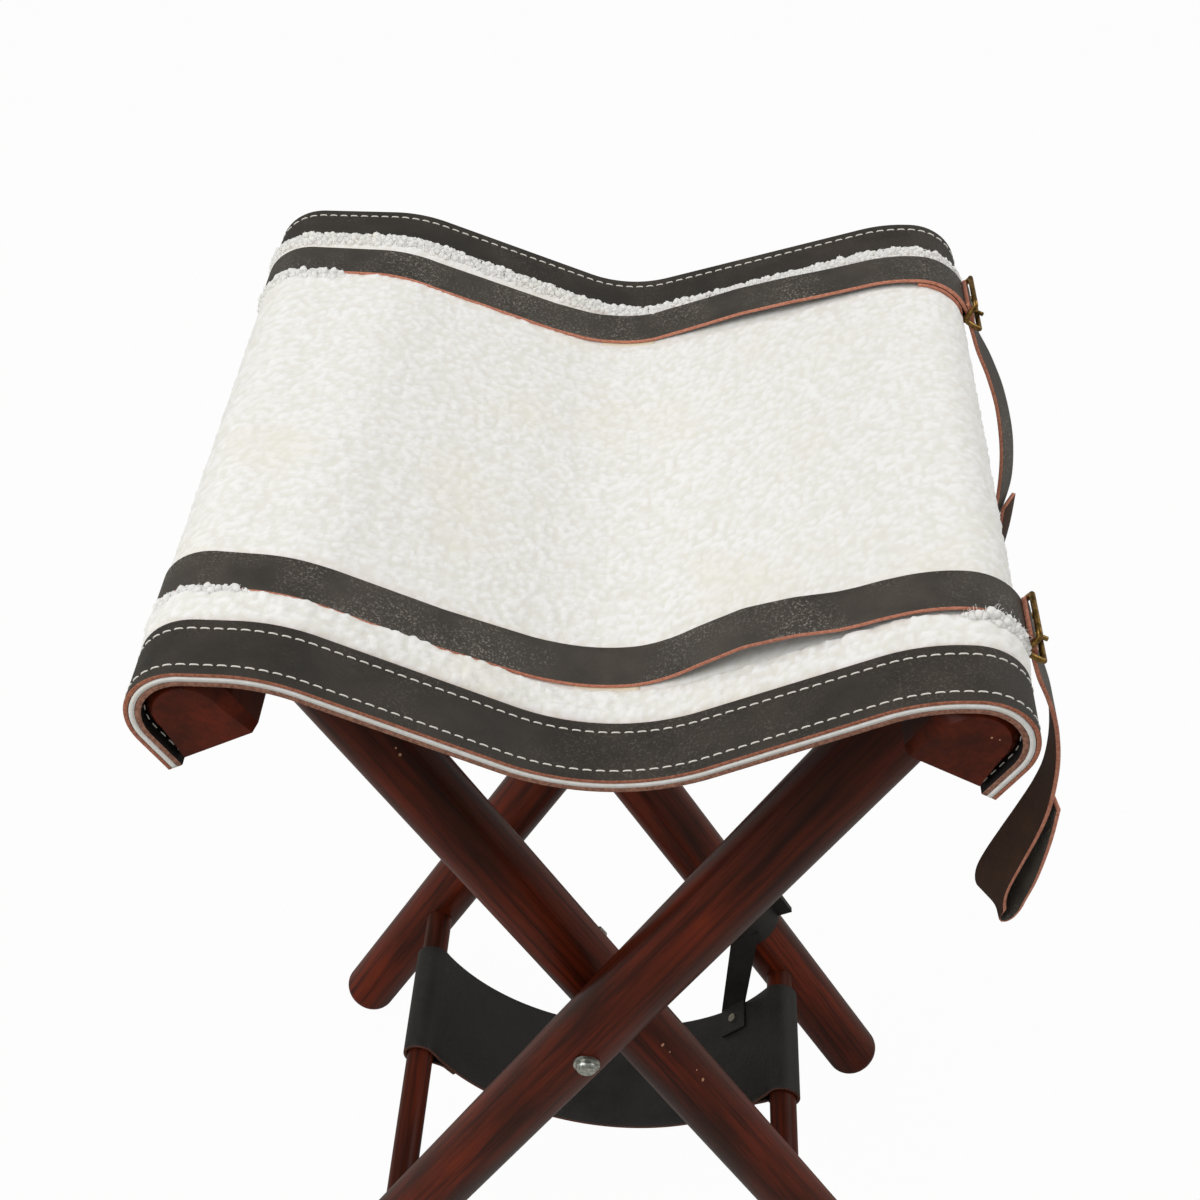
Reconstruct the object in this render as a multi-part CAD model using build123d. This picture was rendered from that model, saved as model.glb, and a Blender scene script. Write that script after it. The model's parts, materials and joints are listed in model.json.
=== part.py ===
from build123d import *
from math import asin, atan2, cos, degrees, radians, sin, sqrt, tan
import os

# A folding camping stool: two crossed pairs of round legs, a slung fleece seat and a low sling.
# The outer frame leans up to the right, the inner frame up to the left. Millimetres, +Z up.

# Crossed frames
leg_diameter = 32.0
leg_angle = 61.4
pivot_height = 298.9
rail_distance = 263.9
leg_gap = 1.0
foot_rounding = 8.0
foot_flat_depth = 0.5
tenon_diameter = 18.0
tenon_length = 18.0
wood_fit = 0.05
tenon_end_gap = 0.5

# Rails that carry the seat
rail_width = 33.0
rail_height = 32.0
rail_length = 298.0
rail_end_depth = 4.2
rail_end_side_inset = 4.2
rail_end_foot_inset = 1.6
rail_end_top_inset = 2.6
leg_inset = 41.0

# Low stretchers
stretcher_diameter = 15.0
stretcher_height = 108.4
stretcher_socket = 12.0

# Pivot bolts
bolt_diameter = 6.0
bolt_hole_clearance = 0.05
bolt_head_diameter = 9.6
bolt_head_height = 3.2
bolt_head_rounding = 2.4
washer_diameter = 12.0
washer_thickness = 1.4
washer_leg_clearance = 0.1
nut_across_flats = 10.0
nut_height = 5.0
bolt_tip = 1.6

# Seat cover, counted outwards from the wood
seat_overhang = 1.3
seat_clearance = 0.3
leather_thickness = 1.8
fleece_thickness = 2.6
band_thickness = 1.8
front_band_width = 26.5
rear_band_width = 25.0
flap_overrun = 1.8
shoulder_radius = 60.0
front_valley_radius = 85.0
rear_valley_radius = 60.0
valley_shift = 8.0
front_sag = 46.5
rear_sag = 34.0
front_left_crest_run = 12.0
rear_left_crest_run = 32.0
right_crest_run = 1.5
layer_clearance = 0.1

# Tacks under the fleece
tack_count = 5
tack_shank_diameter = 1.8
tack_shank_length = 7.0
tack_head_diameter = 8.0
tack_head_thickness = 0.8
tack_side_height = 8.0
tack_end_margin = 24.0

# Straps over the seat
strap_width = 19.0
strap_thickness = 1.8
strap_lift = 0.7
front_strap_gap = 16.3
rear_strap_gap = 5.8
patch_thickness = 0.5
patch_overhang = 1.5
patch_length = 26.0
strap_end_angle = 71.3
hump_lift = 4.6
# Each share row is a place on the right slope, from shoulder to valley, and the share of the lift.
hump_shares = [(0.30, 0.0), (0.55, 0.75), (0.85, 1.0)]
hump_foot_share = 0.7

# Billets that pass the buckles and hang at the right
billet_tip_angle = 58.0
billet_turn_angle = 90.0
tail_drop = 151.0
tail_front_reach = 21.0
tail_rear_reach = 26.0
tail_front_twist = 32.0
tail_rear_twist = -24.0
tail_rear_lean = 38.0
# Each share row is the way out, the way down, the direction of the run in degrees from straight
# down towards the outside, and the shares of the front and of the rear twist.
tail_shares = [
    (0.0, 0.0, 0.0, 0.0, 0.0),
    (0.157, 0.058, 26.0, 0.0, 0.05),
    (0.414, 0.134, 25.0, 0.0, 0.25),
    (0.652, 0.226, 16.0, 0.0, 0.5),
    (0.833, 0.346, 7.0, 0.0, 0.8),
    (0.89, 0.465, 0.0, 0.03, 1.0),
    (0.838, 0.558, -8.0, 0.2, 1.0),
    (0.71, 0.65, -12.0, 0.4, 1.0),
    (0.529, 0.756, -13.0, 0.6, 1.0),
    (0.367, 0.856, -11.0, 0.8, 1.0),
    (0.314, 0.922, 0.0, 0.95, 1.0),
    (0.376, 0.975, 35.0, 1.0, 1.0),
    (0.519, 0.993, 90.0, 1.0, 1.0),
    (0.633, 0.962, 150.0, 1.0, 1.0),
    (0.71, 0.909, 166.0, 0.95, 1.0),
    (0.824, 0.836, 169.0, 0.8, 1.0),
    (0.919, 0.743, 173.0, 0.6, 1.0),
    (0.981, 0.644, 176.0, 0.45, 1.0),
    (1.005, 0.531, 180.0, 0.3, 1.0),
]

# Buckles
buckle_angle = 74.0
buckle_length = 17.0
buckle_side_thickness = 2.4
buckle_bar_diameter = 2.4
buckle_strap_clearance = 0.6
centre_bar_diameter = 2.0
tongue_diameter = 1.8
tongue_clearance = 0.1
tongue_tip_overhang = 1.2
tongue_eye_wall = 0.7
tongue_slot_clearance = 0.4

# Sling between the stretchers
sling_thickness = 2.0
sling_loop_clearance = 0.3
sling_bottom_height = 57.0
sling_front_margin = 46.5
sling_rear_margin = 2.5
sling_skew = -4.7

# Tie strap from the sling to the inner rear leg
tie_width = 18.0
tie_thickness = 1.6
tie_clearance = 0.3
tie_leg_height = 150.0
tie_tip_length = 9.0
tie_corner_angle = 46.0
tie_lap_clearance = 0.5
tie_rivet_head_diameter = 5.0
tie_rivet_head_height = 1.2
tie_rivet_shank_diameter = 2.0

overrun = 40.0

os.makedirs("parts", exist_ok=True)
pieces = {}

leg_radius = leg_diameter / 2
outer_leg_y = rail_length / 2 - leg_inset
inner_leg_y = outer_leg_y - leg_diameter - leg_gap
rail_radius = rail_width / 2
lean_cos = cos(radians(leg_angle))
lean_sin = sin(radians(leg_angle))
foot_centre_height = (
    foot_rounding * (1 - lean_sin) + (leg_radius - foot_rounding) * lean_cos - foot_flat_depth
)
foot_distance = (pivot_height - foot_centre_height) / lean_sin
stretcher_distance = (pivot_height - stretcher_height) / lean_sin
stretcher_x = stretcher_distance * lean_cos


def on_frame(side, along, across=0.0):
    """The (x, z) of a point on a frame: along its legs from the pivot, and across them outwards."""
    x = along * lean_cos + across * lean_sin
    return side * x, pivot_height + along * lean_sin - across * lean_cos


def at(point, y):
    """The point of a plan (x, z) in the plane y."""
    return Vector(point[0], y, point[1])


def outline(y, start, steps):
    """A closed face in the plane y. A step is a point for a line, or (middle, point) for an arc."""
    edges = []
    here = start
    for step in list(steps) + [start]:
        is_arc = isinstance(step[0], tuple)
        there = step[1] if is_arc else step
        if is_arc:
            edges.append(Edge.make_three_point_arc(at(here, y), at(step[0], y), at(there, y)))
        else:
            edges.append(Edge.make_line(at(here, y), at(there, y)))
        here = there
    return Face(Wire(edges))


def run_along_y(face_at, low, high):
    """A solid of the outline that face_at gives, from low to high along Y."""
    return extrude(face_at(low), amount=high - low, dir=(0, 1, 0))


def rod_along_y(point, radius, low, high):
    """A round rod along Y."""
    plane = Plane(origin=at(point, low), x_dir=(1, 0, 0), z_dir=(0, 1, 0))
    return plane * Cylinder(radius, high - low, align=(Align.CENTER, Align.CENTER, Align.MIN))


# Legs


def leg(side, y):
    """A round leg with a turned tenon on top and a rounded foot cut level at the floor."""
    foot = at(on_frame(side, -foot_distance), y)
    plane = Plane(origin=foot, x_dir=(0, 1, 0), z_dir=(side * lean_cos, 0, lean_sin))
    base = (Align.CENTER, Align.CENTER, Align.MIN)
    shaft = Cylinder(leg_radius, foot_distance + rail_distance, align=base)
    shaft = fillet(shaft.edges().sort_by(Axis.Z)[0], foot_rounding)
    tenon = Cylinder(tenon_diameter / 2, foot_distance + rail_distance + tenon_length, align=base)
    body = plane * (shaft + tenon)
    floor_box = Pos(foot.X, y, 0) * Box(
        leg_diameter * 4, leg_diameter * 2, leg_diameter * 2, align=(Align.CENTER, Align.CENTER, Align.MAX)
    )
    bolt_hole = rod_along_y(
        (0, pivot_height), bolt_diameter / 2 + bolt_hole_clearance, y - leg_diameter, y + leg_diameter
    )
    return body - floor_box - bolt_hole


def stretcher_end(leg_y):
    """How far from the middle a stretcher reaches in the socket of a leg at leg_y."""
    return leg_y - leg_radius + stretcher_socket


def stretcher_socket_hole(side, leg_y, end):
    """The blind hole that a stretcher's end sits in, at the end -1 or 1."""
    low, high = sorted((0, end * (stretcher_end(leg_y) + tenon_end_gap)))
    radius = stretcher_diameter / 2 + wood_fit
    return rod_along_y(on_frame(side, -stretcher_distance), radius, low, high)


for frame_name, side, leg_y in (("outer", 1, outer_leg_y), ("inner", -1, inner_leg_y)):
    for end_name, end in (("front", -1), ("rear", 1)):
        socket = stretcher_socket_hole(side, leg_y, end)
        pieces[f"leg_{frame_name}_{end_name}"] = leg(side, end * leg_y) - socket

# Stretchers

for name, side, leg_y in (("stretcher_left", 1, outer_leg_y), ("stretcher_right", -1, inner_leg_y)):
    reach = stretcher_end(leg_y)
    place = on_frame(side, -stretcher_distance)
    pieces[name] = rod_along_y(place, stretcher_diameter / 2, -reach, reach)

# Rails


def rail_face(side, y, foot_inset=0.0, side_inset=0.0, top_inset=0.0):
    """A rail's section in the plane y, drawn in at its underside's corners, its sides and its top."""
    side_height = rail_height - rail_radius
    top = on_frame(side, rail_distance + rail_height - top_inset)
    outer_top = on_frame(side, rail_distance + side_height, rail_radius - side_inset)
    inner_top = on_frame(side, rail_distance + side_height, side_inset - rail_radius)
    outer_foot = on_frame(side, rail_distance, rail_radius - foot_inset)
    inner_foot = on_frame(side, rail_distance, foot_inset - rail_radius)
    return outline(y, inner_foot, [outer_foot, outer_top, (top, inner_top)])


def rail(side, leg_y):
    """A rail with a flat underside, a round top and eased ends, and sockets for two tenons."""
    square_end = rail_length / 2 - rail_end_depth
    insets = (rail_end_foot_inset, rail_end_side_inset, rail_end_top_inset)
    body = run_along_y(lambda y: rail_face(side, y), -square_end, square_end)
    for end in (-1, 1):
        inside = rail_face(side, end * square_end)
        body += loft([inside, rail_face(side, end * rail_length / 2, *insets)], ruled=True)
        plane = Plane(
            origin=at(on_frame(side, rail_distance), end * leg_y),
            x_dir=(0, 1, 0),
            z_dir=(side * lean_cos, 0, lean_sin),
        )
        base = (Align.CENTER, Align.CENTER, Align.MIN)
        body -= plane * Cylinder(tenon_diameter / 2 + wood_fit, tenon_length + tenon_end_gap, align=base)
    return body


pieces["rail_right"] = rail(1, outer_leg_y)
pieces["rail_left"] = rail(-1, inner_leg_y)

# Pivot bolts, washers and nuts

pivot = (0, pivot_height)
bolt_radius = bolt_diameter / 2
head_washers = []
spacer_washers = []
nut_washers = []


def washer(end, start, thickness):
    """A flat washer on the bolt, from start towards the outside, at the end -1 or 1."""
    low, high = sorted((end * start, end * (start + thickness)))
    ring = rod_along_y(pivot, washer_diameter / 2, low, high)
    return ring - rod_along_y(pivot, bolt_radius + bolt_hole_clearance, low - overrun, high + overrun)


outer_face = outer_leg_y + leg_radius
inner_face = inner_leg_y - leg_radius
spacer_start = inner_leg_y + leg_radius + washer_leg_clearance
nut_outside = inner_face - washer_leg_clearance - washer_thickness
bolt_inside = nut_outside - nut_height - bolt_tip
head_seat = outer_face + washer_thickness

for end_name, end in (("front", -1), ("rear", 1)):
    low, high = sorted((end * bolt_inside, end * head_seat))
    shank = rod_along_y(pivot, bolt_radius, low, high)
    head_plane = Plane(origin=at(pivot, end * head_seat), x_dir=(1, 0, 0), z_dir=(0, end, 0))
    head = Cylinder(
        bolt_head_diameter / 2, bolt_head_height, align=(Align.CENTER, Align.CENTER, Align.MIN)
    )
    head = fillet(head.edges().sort_by(Axis.Z)[-1], bolt_head_rounding)
    pieces[f"pivot_bolt_{end_name}"] = shank + head_plane * head
    nut_plane = Plane(origin=at(pivot, end * nut_outside), x_dir=(1, 0, 0), z_dir=(0, -end, 0))
    hexagon = RegularPolygon(nut_across_flats / 2, 6, major_radius=False)
    nut = nut_plane * extrude(hexagon, nut_height)
    nut_hole = rod_along_y(pivot, bolt_radius + bolt_hole_clearance, -outer_face, outer_face)
    pieces[f"pivot_nut_{end_name}"] = nut - nut_hole
    head_washers.append(washer(end, outer_face, washer_thickness))
    spacer_washers.append(washer(end, spacer_start, leg_gap - washer_leg_clearance))
    nut_washers.append(washer(end, nut_outside, washer_thickness))

pieces["head_washers"] = Compound(head_washers)
pieces["spacer_washers"] = Compound(spacer_washers)
pieces["nut_washers"] = Compound(nut_washers)

# Seat path: from the flap's end, up round the rail, over its inner shoulder and down to the valley

seat_depth = rail_length + 2 * seat_overhang
rail_round_along = rail_distance + rail_height - rail_radius
rail_round_x = on_frame(1, rail_round_along)[0]
rail_round_z = on_frame(1, rail_round_along)[1]
seat_rest_radius = rail_radius + seat_clearance
crest_height = rail_round_z + seat_rest_radius
side_angle = 180 - leg_angle
flap_length = rail_height - rail_radius + flap_overrun


def over_depth(front_value, rear_value, y):
    """A value that changes evenly from the seat's front edge to its rear one."""
    return front_value + (rear_value - front_value) * (y + seat_depth / 2) / seat_depth


def sag_at(y):
    """How far the valley lies under the crest."""
    return over_depth(front_sag, rear_sag, y)


def valley_radius_at(y):
    """The radius of the valley under the leather."""
    return over_depth(front_valley_radius, rear_valley_radius, y)


def shoulder_x_at(side, y):
    """How far from the middle the cover, which runs level from the rail's crest, starts to bend down."""
    left_run = over_depth(front_left_crest_run, rear_left_crest_run, y)
    return rail_round_x - (right_crest_run if side > 0 else left_run)


def slope_at(side, y):
    """The steepness of the seat's straight slope, where it touches the shoulder and valley arcs."""
    run = shoulder_x_at(side, y) - side * valley_shift
    both_radii = shoulder_radius + valley_radius_at(y)
    spare = both_radii - sag_at(y)
    return degrees(asin(both_radii / sqrt(run**2 + spare**2)) - atan2(spare, run))


def round_rail(side, rise, angle):
    """A point over the rail at an angle from straight up towards the outside."""
    radius = seat_rest_radius + rise
    x = rail_round_x + radius * sin(radians(angle))
    return side * x, rail_round_z + radius * cos(radians(angle))


def on_shoulder(side, y, rise, angle):
    """A point on the inner shoulder at an angle from straight up towards the valley."""
    radius = shoulder_radius + rise
    x = shoulder_x_at(side, y) - radius * sin(radians(angle))
    return side * x, crest_height - shoulder_radius + radius * cos(radians(angle))


def in_valley(side, y, rise, angle):
    """A point in the valley at an angle from straight down towards the rail of that side."""
    radius = valley_radius_at(y) - rise
    x = valley_shift + side * radius * sin(radians(angle))
    return x, crest_height - sag_at(y) + valley_radius_at(y) - radius * cos(radians(angle))


def seat_half_steps(side, y, rise):
    """The seat path of one side from the flap's end to the valley, as a start and its steps."""
    slope = slope_at(side, y)
    flap_top = round_rail(side, rise, side_angle)
    flap_end = (flap_top[0] - side * flap_length * lean_cos, flap_top[1] - flap_length * lean_sin)
    steps = [
        flap_top,
        (round_rail(side, rise, side_angle / 2), round_rail(side, rise, 0)),
        on_shoulder(side, y, rise, 0),
        (on_shoulder(side, y, rise, slope / 2), on_shoulder(side, y, rise, slope)),
        in_valley(side, y, rise, slope),
        (in_valley(side, y, rise, slope / 2), in_valley(side, y, rise, 0)),
    ]
    return flap_end, steps


def backwards(start, steps):
    """The same path run from its end to its start, as a list of steps after the last point."""
    points = [start] + [step[1] if isinstance(step[0], tuple) else step for step in steps]
    back = []
    for number in range(len(steps) - 1, -1, -1):
        step = steps[number]
        back.append((step[0], points[number]) if isinstance(step[0], tuple) else points[number])
    return points[-1], back


def layer_face(y, path_at, low_rise, high_rise):
    """The section of a layer between two rises over the wood."""
    start, steps = path_at(y, low_rise)
    top_end, top_back = backwards(*path_at(y, high_rise))
    return outline(y, start, list(steps) + [top_end] + top_back)


def layer(path_at, stations, low_rise, high_rise):
    """A layer of the seat through sections at the given places along Y."""
    return loft([layer_face(y, path_at, low_rise, high_rise) for y in stations], ruled=True)


def half_path(side):
    """The path function of one side."""
    return lambda y, rise: seat_half_steps(side, y, rise)


fleece_rise = leather_thickness + fleece_thickness
band_low = fleece_rise + layer_clearance
band_rise = band_low + band_thickness
front_edge = -seat_depth / 2
rear_edge = seat_depth / 2
stations = [front_edge, front_edge + front_band_width, rear_edge - rear_band_width, rear_edge]

# Seat leather, fleece and edge bands, one half to each frame

for name, side in (("left", -1), ("right", 1)):
    path = half_path(side)
    pieces[f"seat_leather_{name}"] = layer(path, stations, 0, leather_thickness)
    pieces[f"seat_fleece_{name}"] = layer(path, stations, leather_thickness, fleece_rise)
    pieces[f"edge_band_front_{name}"] = layer(path, stations[:2], band_low, band_rise)
    pieces[f"edge_band_rear_{name}"] = layer(path, stations[2:], band_low, band_rise)

# Tacks through the leather into the outer sides of the rails


def rod_across(side, along, start, length, radius, y):
    """A round rod square to a frame's legs, pointing outwards from start."""
    outwards = Vector(side * lean_sin, 0, -lean_cos)
    plane = Plane(origin=at(on_frame(side, along, start), y), x_dir=(0, 1, 0), z_dir=outwards)
    return plane * Cylinder(radius, length, align=(Align.CENTER, Align.CENTER, Align.MIN))


head_start = rail_radius + seat_clearance + leather_thickness
tack_step = (seat_depth - 2 * tack_end_margin) / (tack_count - 1)
for name, side in (("left", -1), ("right", 1)):
    tacks = []
    for number in range(tack_count):
        y = front_edge + tack_end_margin + number * tack_step
        along = rail_distance + tack_side_height
        shank_length = tack_shank_length + seat_clearance + leather_thickness
        shank = rod_across(side, along, head_start - shank_length, shank_length, tack_shank_diameter / 2, y)
        head = rod_across(side, along, head_start, tack_head_thickness, tack_head_diameter / 2, y)
        tacks.append(shank + head)
    group = Compound(tacks)
    pieces[f"seat_tacks_{name}"] = group
    for carrier in (f"rail_{name}", f"seat_leather_{name}", f"seat_fleece_{name}"):
        for tack in tacks:
            pieces[carrier] -= tack

# Straps, patches and billets

strap_low = fleece_rise + strap_lift
strap_high = strap_low + strap_thickness
doubled_low = strap_high + layer_clearance
doubled_high = doubled_low + strap_thickness
billet_low = doubled_high + layer_clearance
billet_high = billet_low + strap_thickness
front_strap_place = front_edge + front_band_width + front_strap_gap + strap_width / 2
rear_strap_place = rear_edge - rear_band_width - rear_strap_gap - strap_width / 2
patch_width = strap_width + 2 * patch_overhang


def on_right_slope(y, rise, share):
    """A point on the right slope, at a share of the way from shoulder to valley."""
    upper = on_shoulder(1, y, rise, slope_at(1, y))
    lower = in_valley(1, y, rise, slope_at(1, y))
    return tuple(a + (b - a) * share for a, b in zip(upper, lower))


def strap_to_buckle(y, rise):
    """The right strap's path: doubled from the buckle, then bowed clear of the seat, then flat on it."""
    doubled = rise + doubled_low - strap_low
    slope = slope_at(1, y)
    path = [(round_rail(1, doubled, strap_end_angle / 2), round_rail(1, doubled, 0))]
    path.append(on_shoulder(1, y, doubled, 0))
    path.append((on_shoulder(1, y, doubled, slope / 2), on_shoulder(1, y, doubled, slope)))
    for share, lift_share in hump_shares:
        settled = doubled if share == hump_shares[0][0] else rise
        path.append(on_right_slope(y, settled + lift_share * hump_lift, share))
    foot = slope * hump_foot_share
    path.append(in_valley(1, y, rise, foot))
    path.append((in_valley(1, y, rise, foot / 2), in_valley(1, y, rise, 0)))
    return round_rail(1, doubled, strap_end_angle), path


def turned_back_path(y, rise):
    """The strap end turned back under itself, from the buckle to the top of the right slope."""
    slope = slope_at(1, y)
    path = [(round_rail(1, rise, strap_end_angle / 2), round_rail(1, rise, 0))]
    path.append(on_shoulder(1, y, rise, 0))
    path.append((on_shoulder(1, y, rise, slope / 2), on_shoulder(1, y, rise, slope)))
    path.append(on_right_slope(y, rise, hump_shares[0][0]))
    return round_rail(1, rise, strap_end_angle), path


def billet_in_buckle(y, rise):
    """The billet's path from its turn below the buckle to its tip just past the upper bar."""
    middle = round_rail(1, rise, (billet_turn_angle + billet_tip_angle) / 2)
    return round_rail(1, rise, billet_turn_angle), [(middle, round_rail(1, rise, billet_tip_angle))]


def patch_path(y, rise):
    """The patch's path across the valley."""
    turn = degrees(patch_length / 2 / valley_radius_at(y))
    return in_valley(-1, y, rise, turn), [(in_valley(1, y, rise, 0), in_valley(1, y, rise, turn))]


for name, place in (("front", front_strap_place), ("rear", rear_strap_place)):
    across = [place - strap_width / 2, place + strap_width / 2]
    patch_across = [place - patch_width / 2, place + patch_width / 2]
    pieces[f"strap_{name}_left"] = layer(half_path(-1), across, strap_low, strap_high)
    pieces[f"strap_{name}_right"] = layer(strap_to_buckle, across, strap_low, strap_high)
    pieces[f"strap_{name}_turned_back"] = layer(turned_back_path, across, strap_low, strap_high)
    patch_low = fleece_rise + layer_clearance
    pieces[f"strap_patch_{name}"] = layer(patch_path, patch_across, patch_low, patch_low + patch_thickness)

# Billet tails: each hangs outside, turns up at its end and rises behind itself


def tail_sections(place, reach, twist, lean):
    """The faces that the tail runs through, from the buckle down and up again."""
    begin = round_rail(1, (billet_low + billet_high) / 2, billet_turn_angle)
    faces = []
    for out_share, down_share, heading, front_share, rear_share in tail_shares:
        twist_share = front_share if twist > 0 else rear_share
        x = begin[0] + out_share * reach
        z = begin[1] - down_share * tail_drop
        y = place - lean * down_share * (2 - down_share)
        turn = radians(twist * twist_share)
        run = (sin(radians(heading)), -cos(radians(heading)))
        x_dir = Vector(-sin(turn), cos(turn), 0)
        z_dir = Vector(run[0] * cos(turn), run[0] * sin(turn), run[1])
        plane = Plane(origin=(x, y, z), x_dir=x_dir, z_dir=z_dir)
        faces.append((plane * Rectangle(strap_width, strap_thickness)).faces()[0])
    return faces


def tail(place, reach, twist, lean):
    """The hanging part of a billet."""
    return loft(tail_sections(place, reach, twist, lean), ruled=True)


for name, place, reach, twist, lean in (
    ("front", front_strap_place, tail_front_reach, tail_front_twist, 0.0),
    ("rear", rear_strap_place, tail_rear_reach, tail_rear_twist, tail_rear_lean),
):
    across = [place - strap_width / 2, place + strap_width / 2]
    pieces[f"billet_{name}"] = layer(billet_in_buckle, across, billet_low, billet_high)
    pieces[f"billet_tail_{name}"] = tail(place, reach, twist, lean)

# Sling

sling_width = 2 * inner_face - sling_front_margin - sling_rear_margin
sling_middle_y = (sling_front_margin - sling_rear_margin) / 2
sling_loop_outer = stretcher_diameter / 2 + sling_loop_clearance + sling_thickness
sling_drop = sling_loop_outer + stretcher_height - sling_bottom_height
sling_centre_rise = (stretcher_x**2 - sling_drop**2) / (2 * sling_drop)
sling_centre = (0, stretcher_height + sling_centre_rise)
sling_top_radius = sling_centre[1] - sling_bottom_height
sling_low_radius = sling_top_radius + sling_thickness


def sling_face(side):
    """The sling half's section: a loop round the stretcher and an arc down to the middle."""

    def face_at(y):
        stretcher = (side * stretcher_x, stretcher_height)
        reach = sqrt(stretcher_x**2 + sling_centre_rise**2)
        towards = (-side * stretcher_x / reach, sling_centre_rise / reach)
        down = (-side * towards[1], -stretcher_x / reach)
        along = (sling_loop_outer**2 + reach**2 - sling_low_radius**2) / (2 * reach)
        aside = sqrt(sling_loop_outer**2 - along**2)
        lower = tuple(c + along * t + aside * d for c, t, d in zip(stretcher, towards, down))
        touch = tuple(c + sling_loop_outer * t for c, t in zip(stretcher, towards))
        far = tuple(c - sling_loop_outer * t for c, t in zip(stretcher, towards))
        upper_side = tuple(c - sling_loop_outer * d for c, d in zip(stretcher, down))
        lower_side = tuple(c + sling_loop_outer * d for c, d in zip(stretcher, down))
        half = atan2(stretcher_x, sling_centre_rise) / 2
        top_middle = arc_point(side, sling_top_radius, half)
        low_middle = arc_point(side, sling_low_radius, half)
        steps = [(top_middle, touch), (upper_side, far), (lower_side, lower)]
        steps.append((low_middle, (0, sling_centre[1] - sling_low_radius)))
        return outline(y, (0, sling_centre[1] - sling_top_radius), steps)

    return face_at


def arc_point(side, radius, angle):
    """A point on an arc round the sling's centre at an angle from straight down, in radians."""
    return side * radius * sin(angle), sling_centre[1] - radius * cos(angle)


sling_slab = Pos(0, sling_middle_y, stretcher_height) * Rot(0, 0, sling_skew) * Box(
    stretcher_x * 4, sling_width, stretcher_x * 4
)
for name, side in (("left", -1), ("right", 1)):
    long_run = run_along_y(sling_face(side), sling_middle_y - sling_width, sling_middle_y + sling_width)
    place = (side * stretcher_x, stretcher_height)
    loop_hole = rod_along_y(place, stretcher_diameter / 2 + sling_loop_clearance, -outer_leg_y, outer_leg_y)
    pieces[f"sling_{name}"] = (long_run - loop_hole) & sling_slab

# Tie strap: a ring round the inner rear leg with a short tip, and a run down to the sling's corner

tie_along = -(pivot_height - tie_leg_height) / lean_sin
tie_centre = at(on_frame(-1, tie_along), inner_leg_y)
tie_up = Vector(-lean_cos, 0, lean_sin)
tie_out = Vector(lean_sin, 0, lean_cos)
tie_inner_radius = leg_radius + tie_clearance
tie_outer_radius = tie_inner_radius + tie_thickness
ring_plane = Plane(origin=tie_centre, x_dir=tie_out, z_dir=tie_up)
ring = ring_plane * (Cylinder(tie_outer_radius, tie_width) - Cylinder(tie_inner_radius, tie_width * 2))
tip_place = Pos(tie_outer_radius + (tie_tip_length - tie_thickness) / 2, 0, 0)
tip = ring_plane * tip_place * Box(tie_tip_length, tie_thickness * 2, tie_width)

corner_turn = radians(tie_corner_angle)
rear_edge_y = sling_middle_y + sling_width / 2
corner_radius = sling_top_radius - tie_lap_clearance - tie_thickness / 2
corner = arc_point(1, corner_radius, corner_turn)
corner_slope = Vector(cos(corner_turn), 0, sin(corner_turn))
corner_inwards = Vector(-sin(corner_turn), 0, cos(corner_turn))
corner_y = rear_edge_y + corner[0] * tan(radians(sling_skew))
ring_front = tie_centre - Vector(0, 1, 0) * (tie_outer_radius - tie_thickness / 2)


def tie_section(place, width_dir, run_dir):
    """A cross-section of the tie strap."""
    plane = Plane(origin=place, x_dir=width_dir, z_dir=run_dir)
    return (plane * Rectangle(tie_width, tie_thickness)).faces()[0]


lap_start = at(corner, corner_y - tie_width)
lap_end = at(corner, corner_y)
lap_faces = [tie_section(place, corner_slope, Vector(0, 1, 0)) for place in (lap_start, lap_end)]
leg_face = tie_section(ring_front, tie_out, tie_up)
tie_strap = ring + tip + loft(lap_faces, ruled=True) + loft([lap_faces[1], leg_face], ruled=True)

rivet_middle = at(corner, corner_y - tie_width / 2)
rivet_low = -corner_radius + sling_low_radius + tie_rivet_head_height
rivet_high = tie_thickness / 2 + tie_rivet_head_height
rivet_plane = Plane(origin=rivet_middle, x_dir=(0, 1, 0), z_dir=corner_inwards)
upwards = (Align.CENTER, Align.CENTER, Align.MIN)
downwards = (Align.CENTER, Align.CENTER, Align.MAX)
rivet_shank = Cylinder(tie_rivet_shank_diameter / 2, rivet_high, align=upwards)
rivet_shank += Cylinder(tie_rivet_shank_diameter / 2, rivet_low, align=downwards)
rivet_head = Cylinder(tie_rivet_head_diameter / 2, tie_rivet_head_height, align=downwards)
rivet = Pos(0, 0, rivet_high) * rivet_head + Pos(0, 0, tie_rivet_head_height - rivet_low) * rivet_head
tie_rivet = rivet_plane * (rivet + rivet_shank)
pieces["tie_strap"] = tie_strap - tie_rivet
pieces["sling_right"] -= tie_rivet
pieces["tie_rivet"] = tie_rivet

# Buckles and tongues on the right shoulder


def buckle_plane(place):
    """The plane of a buckle: X runs along the strap downwards, Y runs to the rear, Z outwards."""
    down = Vector(cos(radians(buckle_angle)), 0, -sin(radians(buckle_angle)))
    outwards = Vector(sin(radians(buckle_angle)), 0, cos(radians(buckle_angle)))
    centre = Vector(rail_round_x, place, rail_round_z) + outwards * seat_rest_radius
    return Plane(origin=centre, x_dir=down, z_dir=outwards)


def wire_between(start, end, diameter):
    """A straight wire between two points of a plane's own space."""
    run = Vector(*end) - Vector(*start)
    plane = Plane(origin=start, z_dir=run)
    return plane * Cylinder(diameter / 2, run.length, align=(Align.CENTER, Align.CENTER, Align.MIN))


def bar_across(x, rise, diameter):
    """A bar of the buckle from side to side."""
    return wire_between((x, -side_y, rise), (x, side_y, rise), diameter)


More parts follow.
